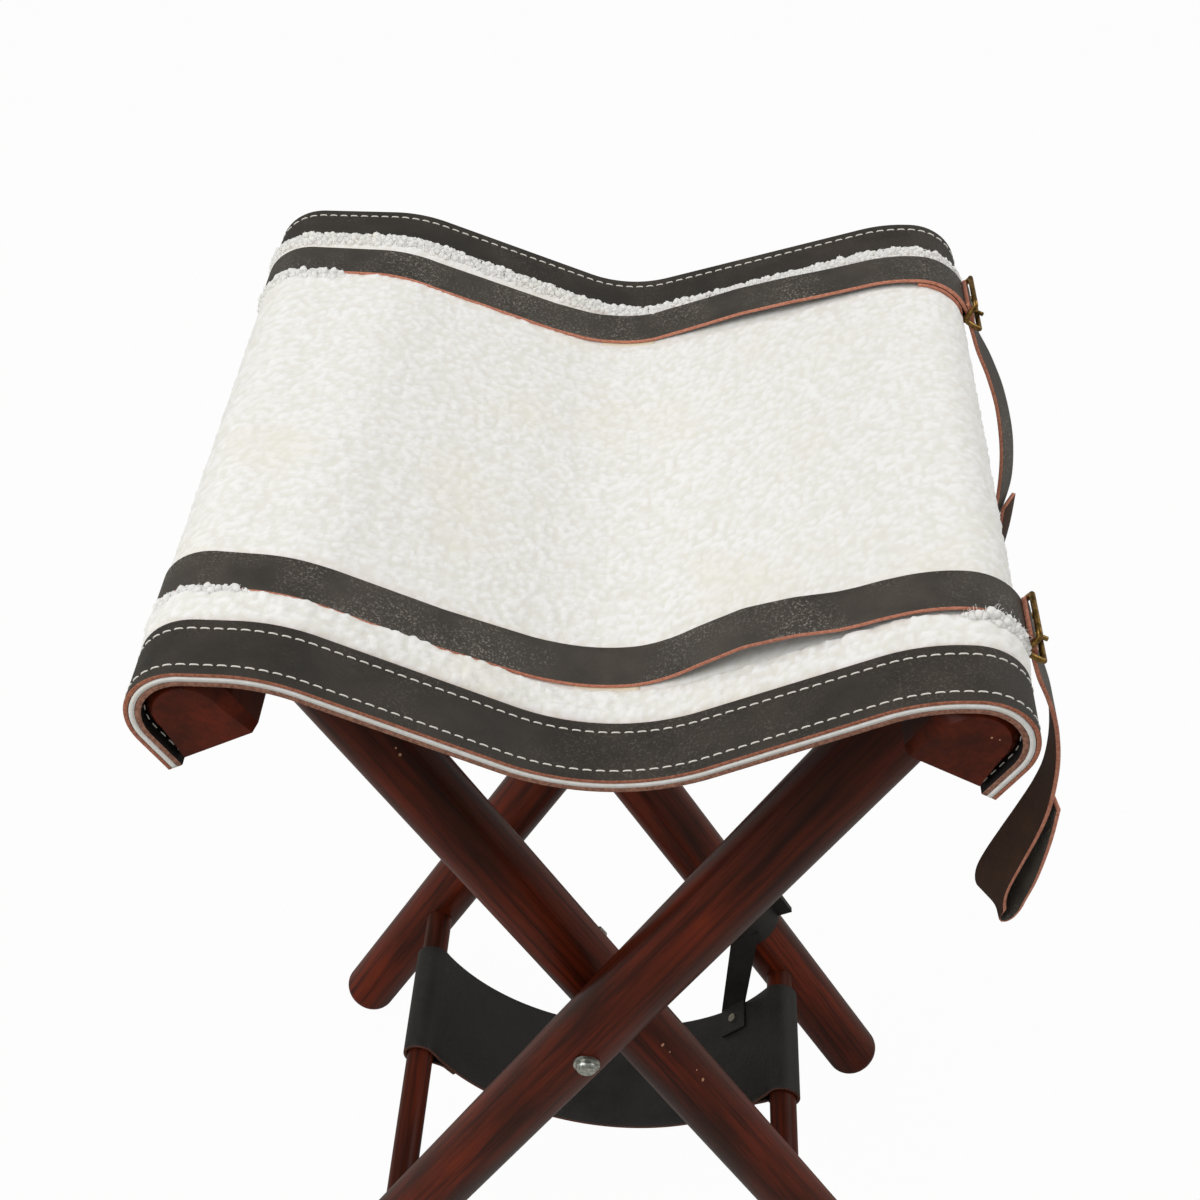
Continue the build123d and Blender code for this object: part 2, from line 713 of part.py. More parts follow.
bar_rise = billet_high + layer_clearance + buckle_bar_diameter / 2
side_y = strap_width / 2 + buckle_strap_clearance + buckle_side_thickness / 2
half_buckle = (buckle_length - buckle_bar_diameter) / 2
centre_rise = (strap_low + doubled_high) / 2
tongue_eye_radius = centre_bar_diameter / 2 + tongue_clearance + tongue_eye_wall
tongue_bar_spacing = (buckle_bar_diameter + tongue_diameter) / 2 + tongue_clearance
bars_apart = sqrt(half_buckle**2 + (bar_rise - centre_rise) ** 2)
tongue_lean = atan2(bar_rise - centre_rise, half_buckle) + asin(tongue_bar_spacing / bars_apart)
tongue_reach = bars_apart + tongue_tip_overhang
slot_width = tongue_diameter + 2 * tongue_slot_clearance
slot_length = half_buckle - buckle_bar_diameter / 2


def tongue_shape():
    """A tongue: an eye round the centre bar and a pin that rests on the lower bar."""
    eye = Rot(90, 0, 0) * Cylinder(tongue_eye_radius, tongue_diameter)
    pin_end = (tongue_reach * cos(tongue_lean), 0, tongue_reach * sin(tongue_lean))
    pin = wire_between((0, 0, 0), pin_end, tongue_diameter)
    bar_hole = Rot(90, 0, 0) * Cylinder(centre_bar_diameter / 2 + tongue_clearance, tongue_diameter * 2)
    return Pos(0, 0, centre_rise) * (eye + pin - bar_hole)


for name, place in (("front", front_strap_place), ("rear", rear_strap_place)):
    plane = buckle_plane(place)
    frame = bar_across(-half_buckle, bar_rise, buckle_bar_diameter)
    frame += bar_across(half_buckle, bar_rise, buckle_bar_diameter)
    for end in (-1, 1):
        top = bar_rise + buckle_bar_diameter / 2
        side_place = Pos(0, end * side_y, (top + strap_low) / 2)
        frame += side_place * Box(buckle_length, buckle_side_thickness, top - strap_low)
    frame += bar_across(0, centre_rise, centre_bar_diameter)
    pieces[f"buckle_{name}"] = plane * frame
    pieces[f"tongue_{name}"] = plane * tongue_shape()
    slot_start = -tongue_eye_radius - tongue_slot_clearance
    slot = plane * Pos((slot_start + slot_length) / 2, 0, bar_rise / 2) * Box(
        slot_length - slot_start, slot_width, bar_rise
    )
    for strap in (f"strap_{name}_right", f"strap_{name}_turned_back", f"billet_{name}"):
        pieces[strap] -= slot

footprint = Compound(list(pieces.values())).bounding_box()
centre_shift = Vector(
    -(footprint.min.X + footprint.max.X) / 2, -(footprint.min.Y + footprint.max.Y) / 2, -footprint.min.Z
)

for name, piece in pieces.items():
    export_step(Pos(centre_shift) * piece, f"parts/{name}.step")
foot_x = foot_distance * lean_cos - foot_rounding * lean_cos - (leg_radius - foot_rounding) * lean_sin
print("pivot at", centre_shift + at(pivot, 0))
print("foot flat at", centre_shift + Vector(-foot_x, -outer_leg_y, 0))
for name, place in (("front", front_strap_place), ("rear", rear_strap_place)):
    hinge = buckle_plane(place).from_local_coords(Vector(0, 0, centre_rise))
    print("tongue hinge", name, centre_shift + hinge)
print("whole size", footprint.size)
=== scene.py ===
import bpy
import json
import math
import numpy as np
from mathutils import Matrix, Vector


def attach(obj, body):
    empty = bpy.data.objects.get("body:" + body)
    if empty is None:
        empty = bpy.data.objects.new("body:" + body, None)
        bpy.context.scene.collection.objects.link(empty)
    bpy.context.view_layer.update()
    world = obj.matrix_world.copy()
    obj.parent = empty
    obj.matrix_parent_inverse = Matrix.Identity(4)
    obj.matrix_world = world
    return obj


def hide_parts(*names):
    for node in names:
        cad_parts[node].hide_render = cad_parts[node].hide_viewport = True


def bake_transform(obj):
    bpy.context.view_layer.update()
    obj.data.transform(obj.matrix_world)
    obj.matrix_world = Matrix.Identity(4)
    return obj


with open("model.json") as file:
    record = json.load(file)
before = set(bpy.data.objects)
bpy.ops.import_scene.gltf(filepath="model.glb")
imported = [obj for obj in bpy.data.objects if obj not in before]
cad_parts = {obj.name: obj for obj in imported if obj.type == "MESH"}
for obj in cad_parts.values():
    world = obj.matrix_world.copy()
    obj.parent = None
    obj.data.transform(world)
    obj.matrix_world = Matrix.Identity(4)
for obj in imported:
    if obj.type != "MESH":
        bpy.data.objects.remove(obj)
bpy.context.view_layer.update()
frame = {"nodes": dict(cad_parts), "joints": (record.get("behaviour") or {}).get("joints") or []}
fold = next(joint for joint in frame["joints"] if joint["name"] == "fold")
middle_x, _, pivot_z = fold["pos_m"]

# Studio: a camera that looks down at the stool from the front, a pale floor, a large soft lamp
# high on the left, a weaker one on the right, and a white room that the lacquer and brass mirror.
mm = 0.001
camera_place = (middle_x + 0.0280, -0.5539, 0.9828)
camera_yaw, camera_pitch, camera_roll = 2.89, 42.91, -0.10
camera_lens = 52.28
camera_sensor = 36.0
floor_size = 9.0
room_level = 0.52
mirrored_level = 0.30
floor_glow = 0.97


def linear(code):
    """The linear colour of an sRGB hex code."""
    shares = [int(code[i : i + 2], 16) / 255 for i in (1, 3, 5)]
    return [s / 12.92 if s <= 0.04045 else ((s + 0.055) / 1.055) ** 2.4 for s in shares] + [1.0]


def set_inputs(tree, node, inputs):
    """Sets a node's inputs to values, or links them from other nodes' outputs."""
    for key, value in inputs.items():
        if isinstance(value, bpy.types.Node):
            value = value.outputs[0]
        if isinstance(value, bpy.types.NodeSocket):
            tree.links.new(value, node.inputs[key])
        else:
            node.inputs[key].default_value = value


def add(tree, kind, settings=(), inputs=()):
    """A new node with its settings and its inputs."""
    node = tree.nodes.new(kind)
    for name, value in dict(settings).items():
        setattr(node, name, value)
    set_inputs(tree, node, dict(inputs))
    return node


def new_piece(name, data):
    """An object for a mesh, a lamp or the camera, placed in the scene."""
    piece = bpy.data.objects.new(name, data)
    bpy.context.scene.collection.objects.link(piece)
    return piece


camera = new_piece("camera", bpy.data.cameras.new("camera"))
bpy.context.scene.camera = camera
camera.data.lens = camera_lens
camera.data.sensor_width = camera_sensor
camera.data.sensor_fit = "HORIZONTAL"
camera.matrix_world = (
    Matrix.Translation(camera_place)
    @ Matrix.Rotation(math.radians(camera_yaw), 4, "Z")
    @ Matrix.Rotation(math.radians(90 - camera_pitch), 4, "X")
    @ Matrix.Rotation(math.radians(camera_roll), 4, "Z")
)

bpy.context.scene.view_settings.view_transform = "Standard"
world = bpy.data.worlds.new("white_room")
bpy.context.scene.world = world
world.use_nodes = True
room = world.node_tree
room.nodes.clear()
rays = add(room, "ShaderNodeLightPath")
level = {"Value": rays.outputs["Is Glossy Ray"], "To Min": room_level, "To Max": mirrored_level}
level = add(room, "ShaderNodeMapRange", {}, level)
level = {0: level, 1: rays.outputs["Is Camera Ray"]}
level = add(room, "ShaderNodeMath", {"operation": "MAXIMUM"}, level)
glow = add(room, "ShaderNodeBackground", {}, {"Color": linear("#FFFFFF"), "Strength": level})
add(room, "ShaderNodeOutputWorld", {}, {"Surface": glow})

for name, place, aim, size, power in (
    ("lamp_left", (-1.25, -0.55, 1.75), (0.0, 0.0, 0.42), 1.5, 20.5),
    ("lamp_right", (1.35, 0.35, 1.35), (0.0, 0.0, 0.40), 1.3, 9.5),
):
    lamp = new_piece(name, bpy.data.lights.new(name, "AREA"))
    lamp.data.shape = "SQUARE"
    lamp.data.size = size
    lamp.data.energy = power
    lamp.location = place
    lamp.rotation_euler = (Vector(aim) - Vector(place)).to_track_quat("-Z", "Y").to_euler()

floor_mesh = bpy.data.meshes.new("floor")
half_floor = floor_size / 2
corner_signs = ((-1, -1), (1, -1), (1, 1), (-1, 1))
floor_corners = [(x * half_floor, y * half_floor, 0) for x, y in corner_signs]
floor_mesh.from_pydata(floor_corners, [], [(0, 1, 2, 3)])
floor = new_piece("floor", floor_mesh)
painted_floor = bpy.data.materials.new("pale_painted_floor")
painted_floor.use_nodes = True
tree = painted_floor.node_tree
tree.nodes.clear()
rays = add(tree, "ShaderNodeLightPath")
paint = add(tree, "ShaderNodeBsdfDiffuse", {}, {"Color": linear("#B9B7B2")})
white = add(tree, "ShaderNodeEmission", {}, {"Color": linear("#FFFFFF"), "Strength": 1.0})
share = {0: rays.outputs["Is Camera Ray"], 1: floor_glow}
share = add(tree, "ShaderNodeMath", {"operation": "MULTIPLY"}, share)
surface = add(tree, "ShaderNodeMixShader", {}, {0: share, 1: paint, 2: white})
add(tree, "ShaderNodeOutputMaterial", {}, {"Surface": surface})
floor_mesh.materials.append(painted_floor)

# Legs, rails and stretchers: turned and planed hardwood, stained mahogany red and sprayed with a
# semi-gloss lacquer. The grain runs along each piece, darker and redder in long streaks.
leg_angle = math.radians(61.4)
grain_width = 3.0 * mm
grain_stretch = 0.035
cloud_width = 26.0 * mm
pore_width = 0.7 * mm
mix = {"data_type": "RGBA"}


def new_finish(name):
    """A material with an empty Principled shader: the material, its tree and the shader."""
    finish = bpy.data.materials.new(name)
    finish.use_nodes = True
    tree = finish.node_tree
    tree.nodes.clear()
    shader = add(tree, "ShaderNodeBsdfPrincipled")
    add(tree, "ShaderNodeOutputMaterial", {}, {"Surface": shader})
    return finish, tree, shader


def refinish(node_names, finish):
    """Gives pieces that keep their shape a new finish."""
    for node_name in node_names:
        node = frame["nodes"][node_name]
        node.data.materials.clear()
        node.data.materials.append(finish)


def lacquered_wood(name, turn, seed, contrast, marks):
    """Stained and lacquered hardwood. The turn brings the grain upright, the contrast is that of its
    streaks, and each mark is a chip in the lacquer, a place in millimetres and its radius."""
    finish, tree, shader = new_finish(name)
    place = add(tree, "ShaderNodeTexCoord").outputs["Object"]
    spin = {"rotation_type": "EULER_XYZ"}
    upright = add(tree, "ShaderNodeVectorRotate", spin, {"Vector": place, "Rotation": turn})
    shift = (seed, seed, seed)
    streak_space = {"Vector": upright, "Location": shift, "Scale": (1, 1, grain_stretch)}
    streak_space = add(tree, "ShaderNodeMapping", {}, streak_space)
    cloud_space = {"Vector": upright, "Location": shift, "Scale": (1, 1, 0.22)}
    cloud_space = add(tree, "ShaderNodeMapping", {}, cloud_space)
    grain = {"Vector": streak_space, "Scale": 1 / grain_width, "Detail": 5.0, "Roughness": 0.62}
    grain = add(tree, "ShaderNodeTexNoise", {}, grain)
    cloud = {"Vector": cloud_space, "Scale": 1 / cloud_width, "Detail": 3.0}
    cloud = add(tree, "ShaderNodeTexNoise", {}, cloud)
    pores = {"Vector": streak_space, "Scale": 1 / pore_width, "Detail": 2.0}
    pores = add(tree, "ShaderNodeTexNoise", {}, pores)
    redness = {"Value": cloud, "From Min": 0.36, "From Max": 0.66}
    redness = add(tree, "ShaderNodeMapRange", {}, redness)
    wood = {0: redness, 6: linear("#3A170B"), 7: linear("#682511")}
    wood = add(tree, "ShaderNodeMix", mix, wood)
    streaks = {"Value": grain, "From Min": 0.42, "From Max": 0.64, "To Max": contrast}
    streaks = add(tree, "ShaderNodeMapRange", {}, streaks)
    wood = {0: streaks, 6: wood.outputs[2], 7: linear("#1E0C08")}
    wood = add(tree, "ShaderNodeMix", mix, wood)
    specks = {"Value": pores, "From Min": 0.60, "From Max": 0.72, "To Max": 0.45 * contrast}
    specks = add(tree, "ShaderNodeMapRange", {}, specks)
    wood = {0: specks, 6: wood.outputs[2], 7: linear("#120605")}
    wood = add(tree, "ShaderNodeMix", mix, wood)
    for spot, radius in marks:
        away = {0: place, 1: tuple(value * mm for value in spot)}
        away = add(tree, "ShaderNodeVectorMath", {"operation": "DISTANCE"}, away).outputs["Value"]
        ragged = {0: pores, 1: 0.9 * radius * mm, 2: away}
        ragged = add(tree, "ShaderNodeMath", {"operation": "MULTIPLY_ADD"}, ragged)
        chip = {"Value": ragged, "From Min": 1.3 * radius * mm, "From Max": 1.0 * radius * mm}
        chip = add(tree, "ShaderNodeMapRange", {}, chip)
        wood = {0: chip, 6: wood.outputs[2], 7: linear("#B98A6A")}
        wood = add(tree, "ShaderNodeMix", mix, wood)
    gloss = {"Value": cloud, "From Min": 0.3, "From Max": 0.7, "To Min": 0.30, "To Max": 0.42}
    gloss = add(tree, "ShaderNodeMapRange", {}, gloss)
    relief = {"Height": grain, "Strength": 0.35, "Distance": 0.12 * mm}
    relief = add(tree, "ShaderNodeBump", {}, relief)
    look = {"Base Color": wood.outputs[2], "Roughness": gloss, "Normal": relief}
    set_inputs(tree, shader, look)
    set_inputs(tree, shader, {"Coat Weight": 0.05, "Coat Roughness": 0.2, "Specular IOR Level": 0.1})
    return finish


lean = math.pi / 2 - leg_angle
level = (math.pi / 2, 0, 0)
leg_chips = [
    ((24.5, -86.9, 258.6), 1.1),
    ((28.0, -86.7, 252.5), 0.6),
    ((44.9, -84.5, 225.6), 1.2),
    ((41.7, -83.6, 232.8), 0.6),
    ((-85.9, -87.4, 459.9), 0.9),
    ((-87.3, -87.0, 463.5), 0.6),
]
rail_chips = [((130.2, -149.0, 548.3), 0.7), ((133.0, -149.0, 547.4), 0.5)]
for node_name, turn, seed, contrast, marks in (
    ("leg_outer_front", (0, -lean, 0), 1.3, 0.75, []),
    ("leg_outer_rear", (0, -lean, 0), 4.1, 0.75, []),
    ("leg_inner_front", (0, lean, 0), 2.2, 0.75, leg_chips),
    ("leg_inner_rear", (0, lean, 0), 5.7, 0.75, []),
    ("rail_left", level, 3.4, 0.35, []),
    ("rail_right", level, 7.9, 0.35, rail_chips),
    ("stretcher_left", level, 6.6, 0.75, []),
    ("stretcher_right", level, 8.8, 0.75, []),
):
    finish = lacquered_wood(f"mahogany_lacquer_{node_name}", turn, seed, contrast, marks)
    refinish([node_name], finish)

# Pivot bolts, washers, nuts, tacks and the tie strap's rivet: small steel hardware. The bolts and
# washers are zinc plated, which leaves a soft grey-white spangle. The others are nickel plated.


def mottled(name, dark, pale, noise, span, bump, rough, polished=None):
    """Two tones in a fine noise, which has a width in millimetres, a detail and a roughness. The span
    is the noise at the dark and at the pale tone, and the bump a strength and a depth in millimetres.
    A metal has a second roughness, that of its polished pale tone."""
    finish, tree, shader = new_finish(name)
    width, detail, unevenness = noise
    place = add(tree, "ShaderNodeTexCoord").outputs["Object"]
    cells = {"Vector": place, "Scale": 1 / (width * mm), "Detail": detail, "Roughness": unevenness}
    cells = add(tree, "ShaderNodeTexNoise", {}, cells)
    tone = {"Value": cells, "From Min": span[0], "From Max": span[1]}
    tone = add(tree, "ShaderNodeMapRange", {}, tone)
    colour = add(tree, "ShaderNodeMix", mix, {0: tone, 6: linear(dark), 7: linear(pale)})
    relief = {"Height": cells, "Strength": bump[0], "Distance": bump[1] * mm}
    relief = add(tree, "ShaderNodeBump", {}, relief)
    look = {"Base Color": colour.outputs[2], "Roughness": rough, "Normal": relief}
    if polished is not None:
        gloss = {"Value": tone, "To Min": rough, "To Max": polished}
        look["Roughness"] = add(tree, "ShaderNodeMapRange", {}, gloss)
        look["Metallic"] = 1.0
    set_inputs(tree, shader, look)
    return finish


zinc = mottled(
    "zinc_plated_steel", "#8F938A", "#D3D6CE", (1.3, 3.0, 0.5), (0.35, 0.65), (0.3, 0.06), 0.42, 0.30
)
nickel = mottled(
    "nickel_plated_steel", "#7D776A", "#B9B4A6", (1.0, 3.0, 0.5), (0.35, 0.65), (0.3, 0.06), 0.46, 0.34
)
refinish(["pivot_bolt_front", "pivot_bolt_rear"], zinc)
refinish(["head_washers", "spacer_washers", "nut_washers"], zinc)
refinish(["pivot_nut_front", "pivot_nut_rear"], nickel)
refinish(["seat_tacks_left", "seat_tacks_right", "tie_rivet"], nickel)

# Seat leather: one thick vegetable-tanned side, black on the face that lies on the rails and raw
# russet at its cut edges. It hangs over both rails in a sag and is tacked to their outer sides.
seat_depth = 300.6 * mm
rail_round = 279.4 * mm
rail_x = rail_round * math.cos(leg_angle)
rail_z = pivot_z + rail_round * math.sin(leg_angle)
rest_radius = 16.8 * mm
side_turn = math.pi - leg_angle
flap_length = 17.3 * mm
shoulder_radius = 60.0 * mm
valley_shift = 8.0 * mm
leather_thickness = 2.3 * mm
edge_rounding = 0.35 * mm
groove_depth = 0.22 * mm
groove_width = 0.4 * mm


def spans_at(side, y):
    """The slope, the valley's radius and the six lengths of the cover's line from valley to flap end."""
    depth = np.asarray(y) / seat_depth + 0.5
    sag = (46.5 - 12.5 * depth) * mm
    valley = (85.0 - 25.0 * depth) * mm
    crest = np.where(side > 0, 1.5, 12.0 + 20.0 * depth) * mm
    run = rail_x - crest - side * valley_shift
    both = shoulder_radius + valley
    spare = both - sag
    slope = np.arcsin(both / np.hypot(run, spare)) - np.arctan2(spare, run)
    straight = np.sqrt(run**2 + spare**2 - both**2)
    turn_length = rest_radius * side_turn
    lengths = [valley * slope, straight, shoulder_radius * slope, crest, turn_length, flap_length]
    return slope, valley, sag, lengths


def cover(reach, y, rise):
    """Points over the wood. Reach runs along the cover, from the valley to the left below zero and
    to the right above it, y to the rear, and rise is the height over the wood."""
    reach, y, rise = np.broadcast_arrays(*[np.asarray(value, float) for value in (reach, y, rise)])
    side = np.where(reach < 0, -1.0, 1.0)
    slope, valley, sag, lengths = spans_at(side, y)
    left = np.abs(reach)
    parts = []
    for length in lengths[:-1]:
        parts.append(np.clip(left, 0, length))
        left = left - length
    flap = np.maximum(left, 0)
    dip, bend, drop = parts[0] / valley, parts[2] / shoulder_radius, parts[4] / rest_radius
    heading = dip - bend - drop
    x = valley * np.sin(dip) + parts[1] * np.cos(slope) + parts[3]
    x = x + shoulder_radius * (np.sin(slope) - np.sin(slope - bend))
    x = x + rest_radius * np.sin(drop) + flap * math.cos(side_turn)
    z = rail_z + rest_radius - sag + valley * (1 - np.cos(dip)) + parts[1] * np.sin(slope)
    z = z + shoulder_radius * (np.cos(slope - bend) - np.cos(slope))
    z = z - rest_radius * (1 - np.cos(drop)) - flap * math.sin(side_turn)
    x = middle_x + valley_shift + side * (x - np.sin(heading) * rise)
    return np.stack([x, y, z + np.cos(heading) * rise], axis=-1)


def whole_reach(side, y):
    """How far the cover runs from the valley to a flap's end."""
    return sum(spans_at(side, y)[3])


def section(width, thickness, columns, rounding=edge_rounding, grooves=()):
    """A strap's closed section: rows of (across, up, skin), skin 0 its face, 1 its back, 2 its edge."""
    half, top = width / 2, thickness / 2
    steps = np.linspace(-half + rounding, half - rounding, columns)
    beside = np.array([-0.7, -0.35, 0, 0.35, 0.7]) * mm
    steps = np.unique(np.concatenate([steps] + [groove + beside for groove in grooves]))
    dip = np.zeros(len(steps))
    for groove in grooves:
        dip += groove_depth * np.exp(-(((steps - groove) / groove_width) ** 2))
    corner = rounding * (1 - math.sqrt(0.5))
    rows = [(step, top - low, 0) for step, low in zip(steps, dip)]
    rows += [(half - corner, top - corner, 2), (half, top - rounding, 2), (half, -top + rounding, 2)]
    rows += [(half - corner, -top + corner, 1)]
    back = np.linspace(half - rounding, -half + rounding, max(2, columns // 3))
    rows += [(step, -top, 1) for step in back]
    rows += [(-half + corner, -top + corner, 2), (-half, -top + rounding, 2), (-half, top - rounding, 2)]
    rows += [(-half + corner, top - corner, 0)]
    return np.array(rows)


def strip(name, grid, skins, finishes):
    """A closed mesh through rows of points: each row is one closed section, and both ends are capped."""
    rows, columns = grid.shape[:2]
    numbers = np.arange(rows * columns).reshape(rows, columns)
    after = np.roll(numbers, -1, axis=1)
    quads = np.stack([numbers[:-1], after[:-1], after[1:], numbers[1:]], axis=-1).reshape(-1, 4)
    faces = quads.tolist() + [numbers[0, ::-1].tolist(), numbers[-1].tolist()]
    kinds = np.tile(skins, rows - 1).tolist() + [2, 2]
    mesh = bpy.data.meshes.new(name)
    mesh.from_pydata(grid.reshape(-1, 3).tolist(), [], faces)
    mesh.polygons.foreach_set("material_index", [int(kind) for kind in kinds])
    along = np.cumsum(np.linalg.norm(np.diff(grid[:, 0], axis=0, prepend=grid[:1, 0]), axis=-1))
    around = np.cumsum(np.linalg.norm(np.diff(grid[rows // 2], axis=0, prepend=grid[rows // 2, :1]), axis=-1))
    uv = np.stack(np.broadcast_arrays(along[:, None], around[None, :]), axis=-1).reshape(-1, 2)
    corners = np.empty(len(mesh.loops), dtype=np.int64)
    mesh.loops.foreach_get("vertex_index", corners)
    layer = mesh.uv_layers.new(name="cut")
    layer.data.foreach_set("uv", uv[corners].ravel())
    mesh.shade_smooth()
    for finish in finishes:
        mesh.materials.append(finish)
    turn_out(mesh)
    return new_piece(name, mesh)


def turn_out(mesh):
    """Turns all faces of a closed mesh outwards, if it is inside out."""
    count = len(mesh.vertices)
    points = np.empty(count * 3)
    mesh.vertices.foreach_get("co", points)
    points = points.reshape(-1, 3)
    mesh.calc_loop_triangles()
    corners = np.empty(len(mesh.loop_triangles) * 3, dtype=np.int64)
    mesh.loop_triangles.foreach_get("vertices", corners)
    a, b, c = points[corners.reshape(-1, 3)].transpose(1, 0, 2)
    if np.einsum("ij,ij->", a, np.cross(b, c)) < 0:
        mesh.flip_normals()


def over_cover(reach, rise, y, rows, strays=0.0):
    """The grid of a strap that lies over the cover, about a line of reaches and rises."""
    reach, rise = np.asarray(reach, float), np.asarray(rise, float) + np.zeros(len(reach))
    forward = np.stack([np.gradient(reach), np.gradient(rise)], axis=-1)
    forward /= np.linalg.norm(forward, axis=-1, keepdims=True)
    across, up = rows[:, 0], rows[:, 1]
    return cover(
        reach[:, None] - forward[:, 1:] * up[None, :],
        y + strays + across[None, :],
        rise[:, None] + forward[:, :1] * up[None, :],
    )


def tanned_leather(name, face, deep, painted_highlight, grain, roughness, painted_highlight_share=0.0, ridges=0.12 * mm):
    """Tanned leather: a pebbled grain, a cloudy tone and pale specks of painted highlight on the grain."""
    finish, tree, shader = new_finish(name)
    place = add(tree, "ShaderNodeTexCoord").outputs["Object"]
    warp = {"Vector": place, "Scale": 1 / (3 * grain), "Detail": 2.0}
    warp = add(tree, "ShaderNodeTexNoise", {}, warp)
    bent = {0: 0.0015, 4: place, 5: warp.outputs["Color"]}
    bent = add(tree, "ShaderNodeMix", {"data_type": "VECTOR"}, bent)
    cells = {"Vector": bent.outputs[1], "Scale": 1 / grain}
    cells = add(tree, "ShaderNodeTexVoronoi", {"feature": "DISTANCE_TO_EDGE"}, cells)
    pebbles = add(tree, "ShaderNodeMapRange", {}, {"Value": cells, "From Max": 0.22})
    cloud = {"Vector": place, "Scale": 1 / (22 * mm), "Detail": 5.0, "Roughness": 0.62}
    cloud = add(tree, "ShaderNodeTexNoise", {}, cloud)
    tone = {"Value": cloud, "From Min": 0.34, "From Max": 0.68}
    tone = add(tree, "ShaderNodeMapRange", {}, tone)
    colour = add(tree, "ShaderNodeMix", mix, {0: tone, 6: linear(deep), 7: linear(face)})
    pits = {"Value": pebbles, "To Min": 0.35, "To Max": 0.0}
    pits = add(tree, "ShaderNodeMapRange", {}, pits)
    colour = {0: pits, 6: colour.outputs[2], 7: linear(deep)}
    colour = add(tree, "ShaderNodeMix", mix, colour)
    # Pale specks in patches: painted highlight standing for light glinting off the coarse grain.
    highlight_noise = {"Vector": place, "Scale": 1 / (1.0 * mm), "Detail": 3.0, "Roughness": 0.7}
    highlight_noise = add(tree, "ShaderNodeTexNoise", {}, highlight_noise)
    patch = {"Vector": place, "Scale": 1 / (38 * mm), "Detail": 2.0}
    patch = add(tree, "ShaderNodeTexNoise", {}, patch)
    where = {"Value": patch, "From Min": 0.42, "From Max": 0.62, "To Max": painted_highlight_share}
    where = add(tree, "ShaderNodeMapRange", {}, where)
    dots = add(tree, "ShaderNodeMapRange", {}, {"Value": highlight_noise, "From Min": 0.53, "From Max": 0.66})
    marks = add(tree, "ShaderNodeMath", {"operation": "MULTIPLY"}, {0: dots, 1: where})
    colour = {0: marks, 6: colour.outputs[2], 7: linear(painted_highlight)}
    colour = add(tree, "ShaderNodeMix", mix, colour)
    gloss = {"Value": tone, "To Min": roughness - 0.06, "To Max": roughness + 0.08}
    gloss = add(tree, "ShaderNodeMapRange", {}, gloss)
    relief = {"Height": pebbles, "Strength": 0.55, "Distance": ridges}
    relief = add(tree, "ShaderNodeBump", {}, relief)
    look = {"Base Color": colour.outputs[2], "Roughness": gloss, "Normal": relief, "Specular IOR Level": 0.32}
    set_inputs(tree, shader, look)
    return finish


def cut_edge(name, pale, dark):
    """A cut edge of leather: bare fibres in two russet tones."""
    return mottled(name, dark, pale, (1.1, 5.0, 0.7), (0.36, 0.64), (0.8, 0.3), 0.88)


base_black = tanned_leather("black_base_leather", "#191614", "#0E0C0B", "#4A4540", 0.9 * mm, 0.6)
base_edge = cut_edge("russet_cut_edge_of_base", "#AC7C66", "#744A3A")
base_rows = section(seat_depth, leather_thickness, 60)


def cover_line(step, low=-1.0, high=1.0, y=0.0):
    """Even reaches along the cover, between two shares of its way to the flaps' ends."""
    start = low * whole_reach(-1, y)
    end = high * whole_reach(1, y)
    return np.linspace(start, end, int(round((end - start) / step)) + 1)


def flaps_even(line, y):
    """Reaches for each place along Y, stretched so that the flaps end level on both sides."""
    shares = np.where(line < 0, line / -line[0], line / line[-1])[:, None]
    return shares * np.where(shares < 0, whole_reach(-1, y)[None, :], whole_reach(1, y)[None, :])


def layer_over(line, rows, rise, y):
    """The grid of a layer that runs from flap end to flap end at a rise over the wood."""
    lane = y + rows[:, 0]
    return cover(flaps_even(line, lane), lane[None, :], rise + rows[:, 1][None, :])


def follow_fold(piece):
    """Bakes a piece of the cover's transform into its mesh."""
    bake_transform(piece)


seat_grid = layer_over(cover_line(3.0 * mm), base_rows, leather_thickness / 2, 0.0)
base_skins = [base_black, base_black, base_edge]
seat_leather = strip("seat_leather", seat_grid, base_rows[:, 2], base_skins)
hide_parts("seat_leather_left", "seat_leather_right")
follow_fold(seat_leather)

# Fleece: cream curly sherpa, cut as large as the leather and sewn to it under the edge bands. The
# bands and straps press it flat, and between them the curls stand up in lumps.
pile_step = 1.25 * mm
pile_low = 2.35 * mm
pressed_rise = 4.3 * mm
strap_bed_rise = 4.9 * mm
open_rise = 5.4 * mm
thick_rise = 6.2 * mm
front_band = (-150.3 * mm, -123.8 * mm)
rear_band = (125.3 * mm, 150.3 * mm)
strap_width = 19.0 * mm
front_strap_y = -98.0 * mm
rear_strap_y = 110.0 * mm
lump_width = 2.7 * mm
lump_height = 1.0 * mm
clump_width = 4.8 * mm
clump_height = 1.3 * mm


def step_between(value, low, high):
    """A smooth step from 0 at low to 1 at high."""
    share = np.clip((value - low) / (high - low), 0, 1)
    return share * share * (3 - 2 * share)


def openness(y):
    """How free the pile stands: 0 under the edge bands and straps, 1 in the open."""
    soft = 2.6 * mm
    free = step_between(y, front_band[1] - 0.4 * mm, front_band[1] + soft)
    free = free * (1 - step_between(y, rear_band[0] - soft, rear_band[0] + 0.4 * mm))
    for middle in (front_strap_y, rear_strap_y):
        edge = strap_width / 2
        under = step_between(y, middle - edge - soft, middle - edge + 0.4 * mm)
        under = under * (1 - step_between(y, middle + edge - 0.4 * mm, middle + edge + soft))
        free = free * (1 - under)
    return free


